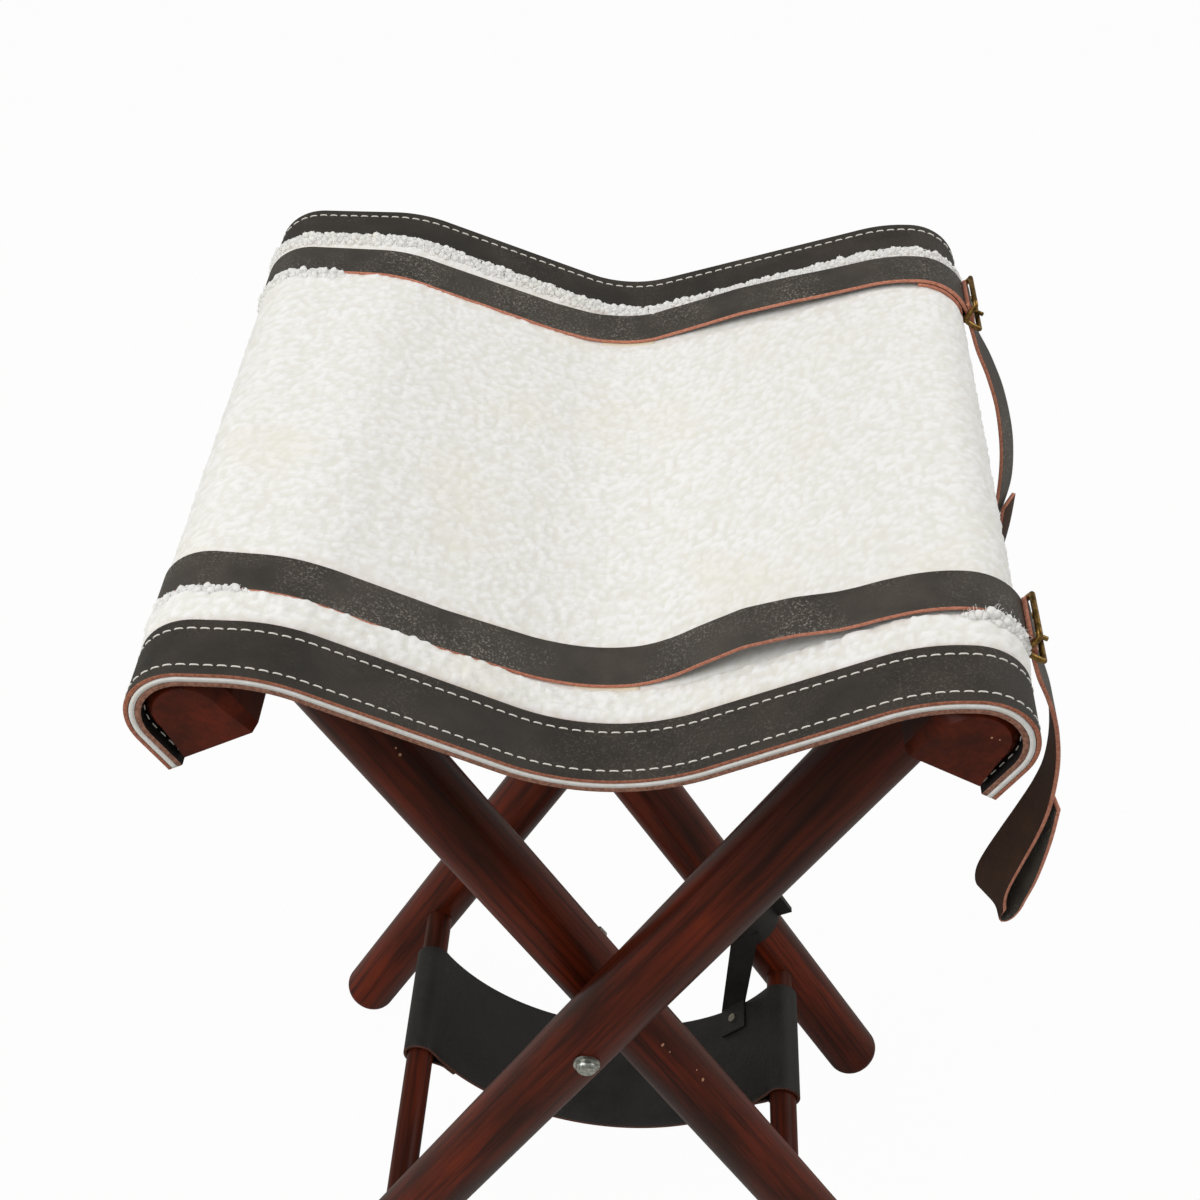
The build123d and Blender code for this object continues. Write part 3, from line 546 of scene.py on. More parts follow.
def pile_finish():
    """Cream fleece: pale curls, with painted shade that turns warmer and greyer deep between them, and a few
    faint stains.
    """
    finish, tree, shader = new_finish("cream_sherpa_fleece")
    place = add(tree, "ShaderNodeTexCoord").outputs["Object"]
    # Painted shade: the colour darkens from the curls' tops down into the crevices between them, by the
    # stored curl height.
    height = add(tree, "ShaderNodeAttribute", {"attribute_name": "curl"})
    tone = {"Value": height.outputs["Fac"], "From Min": 0.0, "From Max": 0.6}
    tone = add(tree, "ShaderNodeMapRange", {}, tone)
    colour = {0: tone, 6: linear("#E5E3DA"), 7: linear("#F2F1EE")}
    colour = add(tree, "ShaderNodeMix", mix, colour)
    stain = {"Vector": place, "Scale": 1 / (46 * mm), "Detail": 3.0}
    stain = add(tree, "ShaderNodeTexNoise", {}, stain)
    amount = {"Value": stain, "From Min": 0.56, "From Max": 0.78, "To Max": 0.5}
    amount = add(tree, "ShaderNodeMapRange", {}, amount)
    colour = {0: amount, 6: colour.outputs[2], 7: linear("#E9E4D4")}
    colour = add(tree, "ShaderNodeMix", mix, colour)
    fuzz = {"Vector": place, "Scale": 1 / (1.1 * mm), "Detail": 4.0, "Roughness": 0.68}
    fuzz = add(tree, "ShaderNodeTexNoise", {}, fuzz)
    relief = {"Height": fuzz, "Strength": 0.5, "Distance": 0.5 * mm}
    relief = add(tree, "ShaderNodeBump", {}, relief)
    look = {"Base Color": colour.outputs[2], "Roughness": 0.95, "Normal": relief}
    set_inputs(tree, shader, look)
    soft = {"Subsurface Weight": 0.3, "Subsurface Radius": (1.0, 0.95, 0.85)}
    set_inputs(tree, shader, soft)
    set_inputs(tree, shader, {"Subsurface Scale": 2.0 * mm, "Sheen Weight": 0.2})
    return finish


fleece_finish = pile_finish()
pile_columns = np.linspace(-seat_depth / 2, seat_depth / 2, int(round(seat_depth / pile_step)) + 1)
bottom_count = 5
bottom_columns = np.linspace(seat_depth / 2, -seat_depth / 2, bottom_count)
no_pile = np.zeros(bottom_count)
free_share = openness(pile_columns)
bed = np.where((pile_columns > front_band[1]) & (pile_columns < rear_band[0]), strap_bed_rise, pressed_rise)
thick = step_between(pile_columns, front_band[1], front_band[1] + 5.0 * mm)
thick = thick * (1 - step_between(pile_columns, front_strap_y - 7 * mm, front_strap_y + 2 * mm))
pile_top = bed + (open_rise + (thick_rise - open_rise) * thick - bed) * free_share
pile_rows = np.concatenate([
    np.stack([pile_columns, pile_top, np.zeros(len(pile_columns))], axis=-1),
    np.stack([bottom_columns, np.full(bottom_count, pile_low), no_pile], axis=-1),
])
pile_line = cover_line(pile_step)
fleece = strip("seat_fleece", layer_over(pile_line, pile_rows, 0.0, 0.0), pile_rows[:, 2], [fleece_finish])
for polygon in fleece.data.polygons:
    polygon.material_index = 0
for share_name, shares in (("free", free_share), ("thick", thick * free_share)):
    corners = np.tile(np.concatenate([shares, no_pile]), len(pile_line))
    attribute = fleece.data.attributes.new(share_name, "FLOAT", "POINT")
    attribute.data.foreach_set("value", corners)


def new_tree(name, sizes):
    """A geometry tree with an input for each size: the tree, what it is given, its identifiers."""
    tree = bpy.data.node_groups.new(name, "GeometryNodeTree")
    for way in ("INPUT", "OUTPUT"):
        tree.interface.new_socket("Geometry", in_out=way, socket_type="NodeSocketGeometry")
    kind = {"in_out": "INPUT", "socket_type": "NodeSocketFloat"}
    sockets = {size: tree.interface.new_socket(size, **kind).identifier for size in sizes}
    return tree, add(tree, "NodeGroupInput"), sockets


pile_sizes = {"Lump width": lump_width, "Lump height": lump_height}
pile_sizes.update({"Clump width": clump_width, "Clump height": clump_height})
pile, given, pile_sockets = new_tree("sherpa_pile", pile_sizes)
place = add(pile, "GeometryNodeInputPosition")
layers = []
for width, high, share in (("Lump width", "Lump height", "free"), ("Clump width", "Clump height", "thick")):
    density = {0: 1.0, 1: given.outputs[width]}
    density = add(pile, "ShaderNodeMath", {"operation": "DIVIDE"}, density)
    drift = add(pile, "ShaderNodeTexNoise", {}, {"Vector": place, "Scale": density, "Detail": 2.0})
    drift = {0: drift.outputs["Color"], 1: (0.5, 0.5, 0.5)}
    drift = add(pile, "ShaderNodeVectorMath", {"operation": "SUBTRACT"}, drift)
    drift = add(pile, "ShaderNodeVectorMath", {"operation": "SCALE"}, {0: drift, "Scale": 2.6 * mm})
    bent = add(pile, "ShaderNodeVectorMath", {"operation": "ADD"}, {0: place, 1: drift})
    lumps = {"Vector": bent, "Scale": density, "Smoothness": 0.35}
    lumps = add(pile, "ShaderNodeTexVoronoi", {"feature": "SMOOTH_F1"}, lumps)
    curl = {"Value": lumps.outputs["Distance"], "From Max": 0.85, "To Min": 1.0, "To Max": 0.0}
    curl = add(pile, "ShaderNodeMapRange", {"interpolation_type": "SMOOTHSTEP"}, curl)
    swell = add(pile, "ShaderNodeTexNoise", {}, {"Vector": place, "Scale": 1 / (9 * mm), "Detail": 2.0})
    swell = {"Value": swell, "From Min": 0.3, "From Max": 0.7, "To Min": 0.5, "To Max": 1.15}
    swell = add(pile, "ShaderNodeMapRange", {}, swell)
    curl = add(pile, "ShaderNodeMath", {"operation": "MULTIPLY"}, {0: curl, 1: swell})
    amount = add(pile, "GeometryNodeInputNamedAttribute", {"data_type": "FLOAT"}, {"Name": share})
    lift = {0: curl, 1: amount.outputs["Attribute"]}
    lift = add(pile, "ShaderNodeMath", {"operation": "MULTIPLY"}, lift)
    lift = add(pile, "ShaderNodeMath", {"operation": "MULTIPLY"}, {0: lift, 1: given.outputs[high]})
    layers.append((curl, lift))
curl = layers[0][0]
lift = add(pile, "ShaderNodeMath", {"operation": "ADD"}, {0: layers[0][1], 1: layers[1][1]})
outwards = add(pile, "GeometryNodeInputNormal")
offset = add(pile, "ShaderNodeVectorMath", {"operation": "SCALE"}, {0: outwards, "Scale": lift})
per_point = {"data_type": "FLOAT", "domain": "POINT"}
marked = {"Geometry": given.outputs["Geometry"], "Name": "curl", "Value": curl}
marked = add(pile, "GeometryNodeStoreNamedAttribute", per_point, marked)
raised = add(pile, "GeometryNodeSetPosition", {}, {"Geometry": marked, "Offset": offset})
whole = add(pile, "GeometryNodeRealizeInstances", {}, {"Geometry": raised})
dressed = {"Geometry": whole, "Material": fleece_finish}
dressed = add(pile, "GeometryNodeSetMaterial", {}, dressed)
add(pile, "NodeGroupOutput", {}, {0: dressed})


def grow(piece, tree, sockets, sizes):
    """Runs a geometry tree on a piece with its inputs set, and keeps the result as a plain mesh."""
    modifier = piece.modifiers.new(tree.name, "NODES")
    modifier.node_group = tree
    for name, size in sizes.items():
        modifier[sockets[name]] = size
    bpy.context.view_layer.update()
    grown = piece.evaluated_get(bpy.context.evaluated_depsgraph_get())
    made = bpy.data.meshes.new_from_object(grown)
    piece.modifiers.clear()
    return made


fleece.data = grow(fleece, pile, pile_sockets, pile_sizes)
fleece.data.shade_smooth()
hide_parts("seat_fleece_left", "seat_fleece_right")
follow_fold(fleece)

# Loose pile: tufts of the fleece that bulge over the near edges of the straps and of the rear band,
# with a few stray fibres on them.
fibre_width = 0.22 * mm
tuft_spacing = 1.2 * mm
tuft_radius = 1.7 * mm
fringe_sizes = ["Spacing", "Fibre length", "Fibre width", "Tuft radius"]
fringe, given, fringe_sockets = new_tree("loose_pile", fringe_sizes)
long = given.outputs["Fibre length"]
bend = add(fringe, "ShaderNodeMath", {"operation": "MULTIPLY"}, {0: long, 1: 0.45})
tall = add(fringe, "ShaderNodeMath", {"operation": "MULTIPLY"}, {0: long, 1: 0.55})
middle = add(fringe, "ShaderNodeCombineXYZ", {}, {"Z": tall})
end = add(fringe, "ShaderNodeCombineXYZ", {}, {"X": bend, "Z": long})
strand = {"Resolution": 4, "Start": (0, 0, 0), "Middle": middle, "End": end}
strand = add(fringe, "GeometryNodeCurveQuadraticBezier", {}, strand)
along = add(fringe, "GeometryNodeSplineParameter")
taper = {"Value": along.outputs["Factor"], "To Min": 1.0, "To Max": 0.35}
taper = add(fringe, "ShaderNodeMapRange", {}, taper)
strand = add(fringe, "GeometryNodeSetCurveRadius", {}, {"Curve": strand, "Radius": taper})
half = add(fringe, "ShaderNodeMath", {"operation": "MULTIPLY"}, {0: given.outputs["Fibre width"], 1: 0.5})
ring = add(fringe, "GeometryNodeCurvePrimitiveCircle", {}, {"Resolution": 3, "Radius": half})
strand = {"Curve": strand, "Profile Curve": ring, "Fill Caps": True}
strand = add(fringe, "GeometryNodeCurveToMesh", {}, strand)
route = add(fringe, "GeometryNodeMeshToCurve", {}, {"Mesh": given.outputs["Geometry"]})
route = {"Curve": route, "Length": given.outputs["Spacing"]}
route = add(fringe, "GeometryNodeResampleCurve", {"mode": "LENGTH"}, route)
vector = {"data_type": "FLOAT_VECTOR"}
stray = add(fringe, "FunctionNodeRandomValue", vector, {0: (-0.5 * mm,) * 3, 1: (0.5 * mm,) * 3, 8: 3})
route = add(fringe, "GeometryNodeSetPosition", {}, {"Geometry": route, "Offset": stray})
turn = add(fringe, "FunctionNodeRandomValue", vector, {0: (-0.6,) * 3, 1: (0.6,) * 3, 8: 5})
leaning = add(fringe, "GeometryNodeInputNamedAttribute", vector, {"Name": "leaning"})
aim = add(fringe, "ShaderNodeVectorMath", {"operation": "ADD"}, {0: leaning.outputs["Attribute"], 1: turn})
facing = add(fringe, "FunctionNodeAlignRotationToVector", {"axis": "Z"}, {"Vector": aim})
angle = add(fringe, "FunctionNodeRandomValue", {"data_type": "FLOAT"}, {2: 0.0, 3: 2 * math.pi, 8: 7})
spin = {"Axis": (0, 0, 1), "Angle": angle.outputs[1]}
spin = add(fringe, "FunctionNodeAxisAngleToRotation", {}, spin)
facing = {"Rotation": facing, "Rotate By": spin}
facing = add(fringe, "FunctionNodeRotateRotation", {"rotation_space": "LOCAL"}, facing)
size = add(fringe, "FunctionNodeRandomValue", {"data_type": "FLOAT"}, {2: 0.5, 3: 1.15, 8: 9})
stray = {"Points": route, "Instance": strand, "Rotation": facing, "Scale": size.outputs[1]}
stray = add(fringe, "GeometryNodeInstanceOnPoints", {}, stray)
ball = {"Radius": given.outputs["Tuft radius"], "Subdivisions": 2}
ball = add(fringe, "GeometryNodeMeshIcoSphere", {}, ball)
balls = {"Points": route, "Instance": ball, "Rotation": facing, "Scale": size.outputs[1]}
balls = add(fringe, "GeometryNodeInstanceOnPoints", {}, balls)
balls = add(fringe, "GeometryNodeRealizeInstances", {}, {"Geometry": balls})
place = add(fringe, "GeometryNodeInputPosition")
ruffle = {"Vector": place, "Scale": 1 / (1.6 * mm), "Detail": 2.0}
ruffle = add(fringe, "ShaderNodeTexNoise", {}, ruffle)
ruffle = {0: ruffle.outputs["Color"], 1: (0.5, 0.5, 0.5)}
ruffle = add(fringe, "ShaderNodeVectorMath", {"operation": "SUBTRACT"}, ruffle)
ruffle = add(fringe, "ShaderNodeVectorMath", {"operation": "SCALE"}, {0: ruffle, "Scale": 1.8 * mm})
balls = add(fringe, "GeometryNodeSetPosition", {}, {"Geometry": balls, "Offset": ruffle})
tufts = add(fringe, "GeometryNodeJoinGeometry", {}, {})
fringe.links.new(stray.outputs[0], tufts.inputs[0])
fringe.links.new(balls.outputs[0], tufts.inputs[0])
tufts = add(fringe, "GeometryNodeRealizeInstances", {}, {"Geometry": tufts})
# The tufts take one middle level of the fleece's painted crevice shade.
tufts = {"Geometry": tufts, "Name": "curl", "Value": 0.35}
tufts = add(fringe, "GeometryNodeStoreNamedAttribute", per_point, tufts)
tufts = add(fringe, "GeometryNodeSetShadeSmooth", {}, {"Geometry": tufts})
tufts = add(fringe, "GeometryNodeSetMaterial", {}, {"Geometry": tufts, "Material": fleece_finish})
add(fringe, "NodeGroupOutput", {}, {0: tufts})


def loose_pile(name, reach, y, rise, length):
    """Tufts along lines on the cover that lean to the rear and up, with fibres of a length on them."""
    reach, y, rise = np.broadcast_arrays(reach, y, rise)
    points = cover(reach, y, rise)
    up = (cover(reach, y, rise + mm) - points) / mm
    leans = 0.75 * np.array([0, 1, 0]) + 0.8 * up
    numbers = np.arange(reach.size).reshape(reach.shape)
    edges = np.stack([numbers[:, :-1], numbers[:, 1:]], axis=-1).reshape(-1, 2)
    mesh = bpy.data.meshes.new(name)
    mesh.from_pydata(points.reshape(-1, 3).tolist(), edges.tolist(), [])
    mesh.attributes.new("leaning", "FLOAT_VECTOR", "POINT").data.foreach_set("vector", leans.ravel())
    piece = new_piece(name, mesh)
    sizes = dict(zip(fringe_sizes, (tuft_spacing, length, fibre_width, tuft_radius)))
    piece.data = grow(piece, fringe, fringe_sockets, sizes)
    follow_fold(piece)


# Each lane is how far behind the covered edge it lies, and its rise over the wood, in millimetres.
over_strap = [(-2.2, 4.9), (-1.0, 5.7), (0.2, 6.2)]
over_lifted_strap = [(-2.4, 5.2), (-1.8, 6.4), (-0.9, 7.5), (0.1, 8.3)]
over_band = [(-2.0, 4.9), (-0.6, 5.7), (0.8, 6.2), (2.2, 6.6)]
for name, edge, low, high, lanes, length in (
    ("front_left", front_strap_y - strap_width / 2 - 0.5 * mm, -0.86, -0.70, over_strap, 1.8 * mm),
    ("front_right", front_strap_y - strap_width / 2 - 1.0 * mm, 0.655, 0.84, over_lifted_strap, 3.2 * mm),
    ("rear_left", rear_strap_y - strap_width / 2 - 2.0 * mm, -0.92, -0.70, over_strap, 1.8 * mm),
    ("rear_band", rear_band[0], -0.95, 0.93, over_band, 1.8 * mm),
):
    line = cover_line(1.0 * mm, low, high, edge)
    lanes = np.array(lanes) * mm
    low_end = 1 - step_between(np.minimum(line - line[0], line[-1] - line), 0, 9 * mm)
    depth = edge + lanes[:, :1] - 1.2 * mm * low_end
    loose_pile(f"loose_pile_{name}", line[None, :], depth, lanes[:, 1:] - 1.8 * mm * low_end, length)

# Edge bands: dark brown grained leather along the front and rear edges, sewn through fleece and
# base with two rows of white waxed thread. Their cut edges are russet.
band_thickness = 1.8 * mm
band_middle_rise = 5.4 * mm
stitch_margin = 4.4 * mm
band_leather = tanned_leather(
    "dark_brown_grained_leather", "#3F3830", "#2C2822", "#7D766C", 0.8 * mm, 0.56, painted_highlight_share=0.3
)
band_back = tanned_leather(
    "brown_flesh_side", "#4D3629", "#37251B", "#5A4638", 1.6 * mm, 0.9, ridges=0.05 * mm
)
russet_edge = cut_edge("russet_cut_edge", "#BE7C60", "#8C4F3A")
for name, (near, far) in (("front", front_band), ("rear", rear_band)):
    width, middle = far - near, (far + near) / 2
    grooves = [-width / 2 + stitch_margin, width / 2 - stitch_margin]
    rows = section(width, band_thickness, 25, grooves=grooves)
    grid = layer_over(cover_line(1.5 * mm), rows, band_middle_rise, middle)
    band = strip(f"edge_band_{name}", grid, rows[:, 2], [band_leather, band_back, russet_edge])
    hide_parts(f"edge_band_{name}_left", f"edge_band_{name}_right")
    follow_fold(band)

# Stitches: white waxed thread, two rows on each edge band and the same rows seen from below on
# the base leather, each stitch sunk a little at both ends.
stitch_pitch = 4.7 * mm
stitch_length = 3.3 * mm
thread_width = 0.62 * mm
thread_finish = mottled(
    "white_waxed_thread", "#C9C3B4", "#F3F1EA", (0.4, 2.0, 0.5), (0.0, 1.0), (0.5, 0.15), 0.6
)
thread_sizes = {"Pitch": stitch_pitch, "Stitch length": stitch_length, "Thread width": thread_width}
sewing, given, thread_sockets = new_tree("row_of_stitches", thread_sizes)
half_length = {0: given.outputs["Stitch length"], 1: 0.5}
half_length = add(sewing, "ShaderNodeMath", {"operation": "MULTIPLY"}, half_length)
end_point = add(sewing, "ShaderNodeCombineXYZ", {}, {"X": half_length})
start_point = add(sewing, "ShaderNodeVectorMath", {"operation": "SCALE"}, {0: end_point, "Scale": -1.0})
line = add(sewing, "GeometryNodeCurvePrimitiveLine", {}, {"Start": start_point, "End": end_point})
line = add(sewing, "GeometryNodeResampleCurve", {}, {"Curve": line, "Count": 7})
along = add(sewing, "GeometryNodeSplineParameter")
from_middle = {"Value": along.outputs["Factor"], "To Min": -1.0, "To Max": 1.0}
from_middle = add(sewing, "ShaderNodeMapRange", {}, from_middle)
bow = add(sewing, "ShaderNodeMath", {"operation": "POWER"}, {0: from_middle, 1: 6.0})
sink = add(sewing, "ShaderNodeMath", {"operation": "MULTIPLY"}, {0: bow, 1: -0.55 * mm})
dip = add(sewing, "ShaderNodeCombineXYZ", {}, {"Z": sink})
line = add(sewing, "GeometryNodeSetPosition", {}, {"Geometry": line, "Offset": dip})
radius = add(sewing, "ShaderNodeMath", {"operation": "MULTIPLY"}, {0: given.outputs["Thread width"], 1: 0.5})
ring = add(sewing, "GeometryNodeCurvePrimitiveCircle", {}, {"Resolution": 6, "Radius": radius})
thread = add(sewing, "GeometryNodeCurveToMesh", {}, {"Curve": line, "Profile Curve": ring, "Fill Caps": True})
route = add(sewing, "GeometryNodeMeshToCurve", {}, {"Mesh": given.outputs["Geometry"]})
route = {"Curve": route, "Length": given.outputs["Pitch"]}
route = add(sewing, "GeometryNodeResampleCurve", {"mode": "LENGTH"}, route)
tangent = add(sewing, "GeometryNodeInputTangent")
upwards = add(sewing, "GeometryNodeInputNamedAttribute", vector, {"Name": "upwards"})
facing = add(sewing, "FunctionNodeAlignRotationToVector", {"axis": "X"}, {"Vector": tangent})
facing = {"Rotation": facing, "Vector": upwards.outputs["Attribute"]}
about_x = {"axis": "Z", "pivot_axis": "X"}
facing = add(sewing, "FunctionNodeAlignRotationToVector", about_x, facing)
row = {"Points": route, "Instance": thread, "Rotation": facing}
row = add(sewing, "GeometryNodeInstanceOnPoints", {}, row)
row = add(sewing, "GeometryNodeRealizeInstances", {}, {"Geometry": row})
row = add(sewing, "GeometryNodeSetShadeSmooth", {}, {"Geometry": row})
row = add(sewing, "GeometryNodeSetMaterial", {}, {"Geometry": row, "Material": thread_finish})
add(sewing, "NodeGroupOutput", {}, {0: row})


def stitch_row(name, y, rise, facing_up):
    """One row of stitches along the cover at a place along Y."""
    line = cover_line(1.0 * mm, -0.985, 0.985, y)
    points = cover(line, y, rise)
    normals = (cover(line, y, rise + 1 * mm) - points) * (1 if facing_up else -1)
    mesh = bpy.data.meshes.new(name)
    mesh.from_pydata(points.tolist(), [(i, i + 1) for i in range(len(points) - 1)], [])
    mesh.attributes.new("upwards", "FLOAT_VECTOR", "POINT").data.foreach_set("vector", normals.ravel())
    piece = new_piece(name, mesh)
    piece.data = grow(piece, sewing, thread_sockets, thread_sizes)
    follow_fold(piece)


top_stitch_rise = band_middle_rise + band_thickness / 2 + 0.02 * mm
low_stitch_rise = -0.05 * mm
for name, outer, inner in (("front", *front_band), ("rear", *reversed(rear_band))):
    inwards = stitch_margin if inner > outer else -stitch_margin
    for side_name, y in (("outer", outer + inwards), ("inner", inner - inwards)):
        stitch_row(f"stitches_{name}_{side_name}", y, top_stitch_rise, True)
        stitch_row(f"stitches_{name}_{side_name}_below", y, low_stitch_rise, False)

# Straps over the seat: the same dark leather as the edge bands, one near each edge, with its face
# painted lighter than the bands' as painted light and with more painted highlight specks. Each ends
# on the left rail's outer side with the cover, lies on the fleece, bows up off it right of the middle,
# and turns a short end back under itself round the buckle's centre bar.
strap_thickness = 1.8 * mm
strap_middle_rise = 6.0 * mm
doubled_middle_rise = 7.9 * mm
doubled_from = 128.0 * mm
# Painted light: this face is lighter than the edge bands' face of the same leather, and its pale specks are
# painted highlight.
strap_leather_painted_light = tanned_leather(
    "dark_strap_leather", "#4D473F", "#38332D", "#9A948A", 0.7 * mm, 0.5, painted_highlight_share=0.8
)
strap_edge = cut_edge("pink_russet_cut_edge", "#D9947A", "#AE6A52")
strap_skins = [strap_leather_painted_light, band_back, strap_edge]
buckle_turn = math.radians(74.0)
centre_bar_rise = 6.95 * mm
centre_bar_radius = 1.0 * mm
wrap_radius = centre_bar_radius + strap_thickness / 2 + 0.05 * mm


def right_reach(x, y):
    """The reach on the right side whose point lies at an x from the stool's middle, short of the rail."""
    reaches = np.linspace(0, whole_reach(1, y) - flap_length - rest_radius * side_turn, 200)
    return float(np.interp(x + middle_x, cover(reaches, y, 0.0)[:, 0], reaches))


def strap_line(y, lifts):
    """The strap's middle line as reaches and rises, from the left flap's end to the fold back's end."""
    rail_start = float(sum(spans_at(1, y)[3][:4]))
    bar_reach = rail_start + rest_radius * buckle_turn
    scale = rest_radius / (rest_radius + centre_bar_rise)
    left = np.arange(-whole_reach(-1, y), 0.0, 2.0 * mm)
    knots = [(0.0, strap_middle_rise)]
    knots += [(right_reach(x * mm, y), rise * mm) for x, rise in lifts]
    knots.append((right_reach(doubled_from, y), doubled_middle_rise))
    knots.append((bar_reach - 3.5 * mm, doubled_middle_rise))
    top = np.arange(0.0, bar_reach - 3.0 * mm, 1.5 * mm)
    smooth = np.interp(top, [knot[0] for knot in knots], [knot[1] for knot in knots])
    kernel = np.array([1, 2, 3, 2, 1]) / 9
    smooth = np.convolve(np.pad(smooth, 2, mode="edge"), kernel, mode="valid")
    turn = np.radians(np.arange(75, -91, -15))
    wrap_reaches = bar_reach + wrap_radius * np.cos(turn) * scale
    wrap_rises = centre_bar_rise + wrap_radius * np.sin(turn)
    under = np.arange(bar_reach - 4.0 * mm, rail_start - 1.0 * mm, -2.5 * mm)
    points = [(reach, strap_middle_rise) for reach in left] + list(zip(top, smooth))
    points += list(zip(wrap_reaches, wrap_rises))
    points += [(reach, strap_middle_rise - 0.05 * mm) for reach in under]
    return np.array(points)


# Each lift is a place along X and the strap's height over the wood there, and each drift a place
# along X and how far the strap strays to the rear, all in millimetres from the stool's middle.
front_lifts = [(20, 6.1), (30, 7.0), (46, 10.6), (63, 13.6), (80, 12.6), (92, 10.2), (100, 8.9), (112, 7.95)]
rear_lifts = [(20, 6.1), (40, 7.6), (60, 9.4), (80, 9.6), (96, 8.6), (112, 7.95)]
front_drift = [(-150, 1.0), (-98, -2.2), (-56, -2.2), (-14, 0.8), (31, 2.4), (94, -1.5), (130, 0.0)]
rear_drift = [(-150, -1.0), (-80, -3.6), (-28, -2.0), (0, 2.2), (26, 4.0), (80, 0.5), (120, 0.0)]


def drift_at(drift, reach, y):
    """How far a strap strays to the rear of its line, from places along X and shifts in millimetres."""
    places = (cover(reach, y, 0.0)[..., 0] - middle_x) / mm
    return np.interp(places, [place for place, _ in drift], [shift for _, shift in drift]) * mm


for name, y, lifts, drift in (
    ("front", front_strap_y, front_lifts, front_drift),
    ("rear", rear_strap_y, rear_lifts, rear_drift),
):
    line = strap_line(y, lifts)
    strays = drift_at(drift, line[:, 0], y)[:, None]
    rows = section(strap_width, strap_thickness, 9)
    grid = over_cover(line[:, 0], line[:, 1], y, rows, strays)
    strap = strip(f"strap_{name}", grid, rows[:, 2], strap_skins)
    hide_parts(f"strap_{name}_left", f"strap_{name}_right", f"strap_{name}_turned_back")
    follow_fold(strap)

# Patches: small cream felt pads under the straps at the middle, a little wider than the straps.
patch_width = 22.0 * mm
patch_length = 26.0 * mm
patch_thickness = 0.5 * mm
patch_rise = 4.75 * mm
felt = mottled("cream_wool_felt", "#CFC3A4", "#EEE6D2", (0.8, 5.0, 0.7), (0.0, 1.0), (0.6, 0.2), 0.92)
for name, y, drift in (("front", front_strap_y, front_drift), ("rear", rear_strap_y, rear_drift)):
    rows = section(patch_width, patch_thickness, 9, rounding=0.15 * mm)
    line = np.linspace(-patch_length / 2, patch_length / 2, 14)
    grid = over_cover(line, patch_rise, y, rows, drift_at(drift, line, y)[:, None])
    patch = strip(f"felt_patch_{name}", grid, rows[:, 2], [felt, felt, felt])
    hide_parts(f"strap_patch_{name}")
    follow_fold(patch)

# Billets: the loose strap ends. Each starts under the buckle's upper bar, passes over its centre
# bar and under its lower one, hangs outside the right rail and turns outwards and up at its end.
billet_middle_rise = 9.8 * mm
billet_tip = math.radians(59.0)
billet_turn = math.radians(90.0)
tail_drop = 151.0 * mm
tail_steps = 8
head_steps = 14
# Each row is the way out, the way down, and the shares of the front and of the rear tail's twist.
tail_places = np.array([
    (0.0, 0.0, 0.0, 0.0),
    (0.157, 0.058, 0.0, 0.05),
    (0.414, 0.134, 0.0, 0.25),
    (0.652, 0.226, 0.0, 0.5),
    (0.833, 0.346, 0.0, 0.8),
    (0.89, 0.465, 0.03, 1.0),
    (0.838, 0.558, 0.2, 1.0),
    (0.71, 0.65, 0.4, 1.0),
    (0.529, 0.756, 0.6, 1.0),
    (0.367, 0.856, 0.8, 1.0),
    (0.314, 0.922, 0.95, 1.0),
    (0.376, 0.975, 1.0, 1.0),
    (0.519, 0.993, 1.0, 1.0),
    (0.633, 0.962, 1.0, 1.0),
    (0.71, 0.909, 0.95, 1.0),
    (0.824, 0.836, 0.8, 1.0),
    (0.919, 0.743, 0.6, 1.0),
    (0.981, 0.644, 0.45, 1.0),
    (1.005, 0.531, 0.3, 1.0),
])


def smooth_through(points, steps):
    """Even points on a smooth curve through the given ones."""
    padded = np.vstack([2 * points[0] - points[1], points, 2 * points[-1] - points[-2]])
    made = []
    for before, start, end, after in zip(padded, padded[1:], padded[2:], padded[3:]):
        for share in np.linspace(0, 1, steps, endpoint=False):
            bend = 2 * start + (end - before) * share
            bend = bend + (2 * before - 5 * start + 4 * end - after) * share**2
            made.append((bend + (3 * start - before - 3 * end + after) * share**3) / 2)
    return np.array(made + [points[-1]])


def along_route(centres, widths, rows):
    """The grid of a strap along a route, with the direction of its width at each point."""
    forward = np.gradient(centres, axis=0)
    forward /= np.linalg.norm(forward, axis=-1, keepdims=True)
    widths = widths - forward * np.sum(widths * forward, axis=-1, keepdims=True)
    widths /= np.linalg.norm(widths, axis=-1, keepdims=True)
    normals = np.cross(forward, widths)
    return centres[:, None] + widths[:, None] * rows[None, :, :1] + normals[:, None] * rows[None, :, 1:2]


for name, y, reach, twist, tail_lean, column in (
    ("front", front_strap_y, 21.0 * mm, 32.0, 0.0, 2),
    ("rear", rear_strap_y, 26.0 * mm, -24.0, 38.0 * mm, 3),
):
    radius = rest_radius + billet_middle_rise
    turns = np.linspace(billet_tip, billet_turn, head_steps)
    head = np.stack([
        middle_x + rail_x + radius * np.sin(turns),
        np.full(head_steps, y),
        rail_z + radius * np.cos(turns),
    ], axis=-1)
    places = smooth_through(tail_places, tail_steps)
    out, down, turned = places[:, 0], places[:, 1], places[:, column]
    tail = np.stack([
        middle_x + rail_x + radius + out * reach,
        y - tail_lean * down * (2 - down),
        rail_z - down * tail_drop,
    ], axis=-1)
    centres = np.concatenate([head[:-1], tail])
    angles = np.radians(np.concatenate([np.zeros(head_steps - 1), twist * turned]))
    widths = np.stack([-np.sin(angles), np.cos(angles), np.zeros(len(angles))], axis=-1)
    rows = section(strap_width, strap_thickness, 9)
    grid = along_route(centres, widths, rows)
    billet = strip(f"billet_strap_{name}", grid, rows[:, 2], strap_skins)
    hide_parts(f"billet_{name}", f"billet_tail_{name}")
    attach(billet, "outer_frame")

